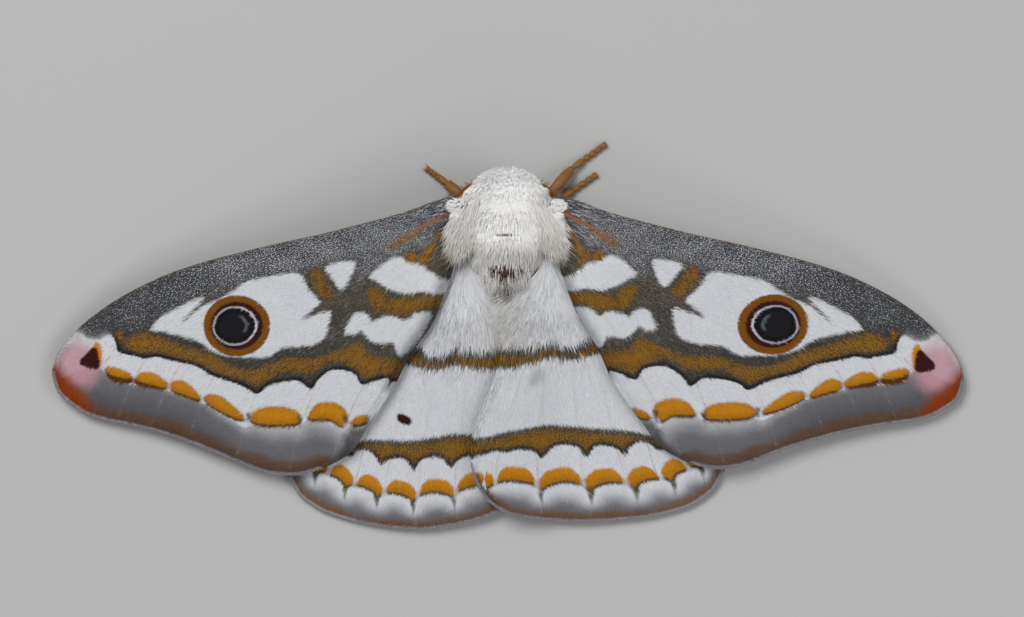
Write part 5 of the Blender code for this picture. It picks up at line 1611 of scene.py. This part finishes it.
class MOTH_OT_head(bpy.types.Operator):
    """Adds the eyes and the comb-like feelers"""

    bl_idname = "moth.head"
    bl_label = "Eyes and Feelers"

    def execute(self, context):
        tints = colours()
        rng = np.random.default_rng(sizes().seed + 3)
        glass = Paint("eye_facets", {"Roughness": 0.18, "Specular IOR Level": 0.6})
        facets = {"Vector": glass.node("TexCoord", output="Object"), "Scale": 16000.0}
        cells = glass.node("TexVoronoi", {"feature": "F1"}, facets, "Distance")
        glass = glass.finish(tints.eye, 1.0 - cells, 0.00002)
        rust = fur_paint("feeler_rust_paint", tints.feeler, tints.leg_dark)
        for side, word in SIDES:
            bm = bmesh.new()
            bmesh.ops.create_icosphere(bm, subdivisions=5, radius=EYE_RADIUS)
            bmesh.ops.translate(bm, verts=bm.verts, vec=(side * EYE_CENTRE[0], *EYE_CENTRE[1:]))
            mesh = finish_mesh(f"eye_{word}_ball", bm)
            add_piece(mesh.name, mesh, glass, [f"eye_{word}"])
            path = smooth_line([(side * out, fore, up) for out, fore, up in FEELER_PATH], 0.2)
            bm = bmesh.new()
            taper = 1.0 - 0.55 * np.linspace(0, 1, len(path))
            beads = 1.0 + 0.12 * np.sin(np.arange(len(path)) * 1.9)
            tube(bm, path, FEELER_RADIUS * taper * beads, 10)
            mesh = finish_mesh(f"feeler_{word}_stem", bm)
            count = len(mesh.vertices)
            flat = {"tone": np.full(count, 0.5), "mark": np.full(count, FAR), "warm": np.zeros(count)}
            flat["rise"] = np.full(count, 0.5)
            write_fields(mesh, flat)
            add_piece(mesh.name, mesh, rust, [f"feeler_{word}"])
            mesh = feeler_rays(f"feeler_{word}_rays", path, rng)
            add_piece(mesh.name, mesh, rust)
        return {"FINISHED"}


def feeler_rays(name, path, rng):
    """The rays of a feeler's comb, in pairs to both sides, longest near its middle."""
    share = np.repeat(np.linspace(RAY_START, 0.985, RAY_PAIRS), 2)
    turn = np.tile([-1.0, 1.0], RAY_PAIRS)[:, None]
    index = (share * (len(path) - 1)).astype(int)
    roots = path[index]
    ways = unit(np.gradient(path, axis=0))[index]
    across = unit(np.cross(ways, [0.0, 0.0, 1.0]))
    lies = unit(across * turn + ways * 0.45 - np.array([0.0, 0.0, 0.15]))
    normals = unit(np.cross(lies, ways * turn))
    normals *= np.sign(normals[:, 2])[:, None]
    wave = np.sin(math.pi * (0.22 + 0.68 * (share - RAY_START) / (1.0 - RAY_START)))
    count = len(share)
    length = RAY_LENGTH * wave * rng.uniform(0.95, 1.05, count)
    shape = (length, np.full(count, RAY_WIDTH), np.full(count, 0.05))
    fields = {"tone": rng.uniform(0.2, 0.6, count), "warm": np.zeros(count)}
    places = np.column_stack([0.5 + 0.1 * turn[:, 0], share])
    return tuft_mesh(name, roots, normals, lies, shape, places, fields, 4, rng, 0.05)


FLOOR_SIZE = 3.0  # half width of the floor in metres
CAMERA_PLACE = (0.00054, 0.00265)
LIGHTS = [  # name, place, watts, size
    ("key", (-0.20, 0.26, 0.50), 3.1, 0.34),
    ("fill", (0.42, -0.10, 0.40), 1.15, 0.4),
    ("rear", (0.05, -0.45, 0.30), 0.6, 0.3),
]
WORLD_COLOUR = (0.95, 0.97, 1.0, 1.0)
WORLD_STRENGTH = 0.30


class MOTH_OT_stage(bpy.types.Operator):
    """Adds the floor, the lights and the camera"""

    bl_idname = "moth.stage"
    bl_label = "Stage"

    def execute(self, context):
        bm = bmesh.new()
        bmesh.ops.create_grid(bm, x_segments=1, y_segments=1, size=FLOOR_SIZE)
        mesh = bpy.data.meshes.new("floor")
        bm.to_mesh(mesh)
        bm.free()
        mesh.materials.append(Paint("floor_paint", {"Roughness": 0.9}).finish(colours().floor))
        floor = bpy.data.objects.new("floor", mesh)
        context.scene.collection.objects.link(floor)
        for name, place, energy, size in LIGHTS:
            light = bpy.data.lights.new(name, "AREA")
            light.energy = energy
            light.shape = "DISK"
            light.size = size
            lamp = bpy.data.objects.new(name, light)
            lamp.location = place
            lamp.rotation_euler = (-Vector(place)).to_track_quat("-Z", "Y").to_euler()
            context.scene.collection.objects.link(lamp)
        world = bpy.data.worlds.new("studio")
        world.use_nodes = True
        world.node_tree.nodes["Background"].inputs["Color"].default_value = WORLD_COLOUR
        world.node_tree.nodes["Background"].inputs["Strength"].default_value = WORLD_STRENGTH
        context.scene.world = world
        context.scene.view_settings.view_transform = "Standard"
        camera = bpy.data.objects.new("camera", bpy.data.cameras.new("camera"))
        camera.data.lens = sizes().lens
        camera.location = (*CAMERA_PLACE, sizes().camera_height)
        context.scene.collection.objects.link(camera)
        context.scene.camera = camera
        return {"FINISHED"}


class MOTH_PT_panel(bpy.types.Panel):
    """Lists the moth's pieces, sizes and colours"""

    bl_label = "Marbled Emperor Moth"
    bl_idname = "MOTH_PT_panel"
    bl_space_type = "VIEW_3D"
    bl_region_type = "UI"
    bl_category = "Moth"

    def draw(self, context):
        for step in STEPS:
            self.layout.operator(step.bl_idname)
        for settings in (context.scene.moth_sizes, context.scene.moth_colours):
            for name in settings.__annotations__:
                self.layout.prop(settings, name)


STEPS = (MOTH_OT_wings, MOTH_OT_wing_coats, MOTH_OT_body, MOTH_OT_legs, MOTH_OT_head, MOTH_OT_stage)
CLASSES = (MothSizes, MothColours, *STEPS, MOTH_PT_panel)


def register():
    """Makes the properties, the operators and the panel known to Blender."""
    for cls in CLASSES:
        bpy.utils.register_class(cls)
    bpy.types.Scene.moth_sizes = PointerProperty(type=MothSizes)
    bpy.types.Scene.moth_colours = PointerProperty(type=MothColours)


def unregister():
    """Takes them away again."""
    del bpy.types.Scene.moth_colours
    del bpy.types.Scene.moth_sizes
    for cls in reversed(CLASSES):
        bpy.utils.unregister_class(cls)


def main():
    """Builds the whole moth and the stage."""
    register()
    bpy.ops.moth.wings()
    bpy.ops.moth.wing_coats()
    bpy.ops.moth.body()
    bpy.ops.moth.legs()
    bpy.ops.moth.head()
    bpy.ops.moth.stage()
    bpy.context.view_layer.update()


if __name__ == "__main__":
    main()
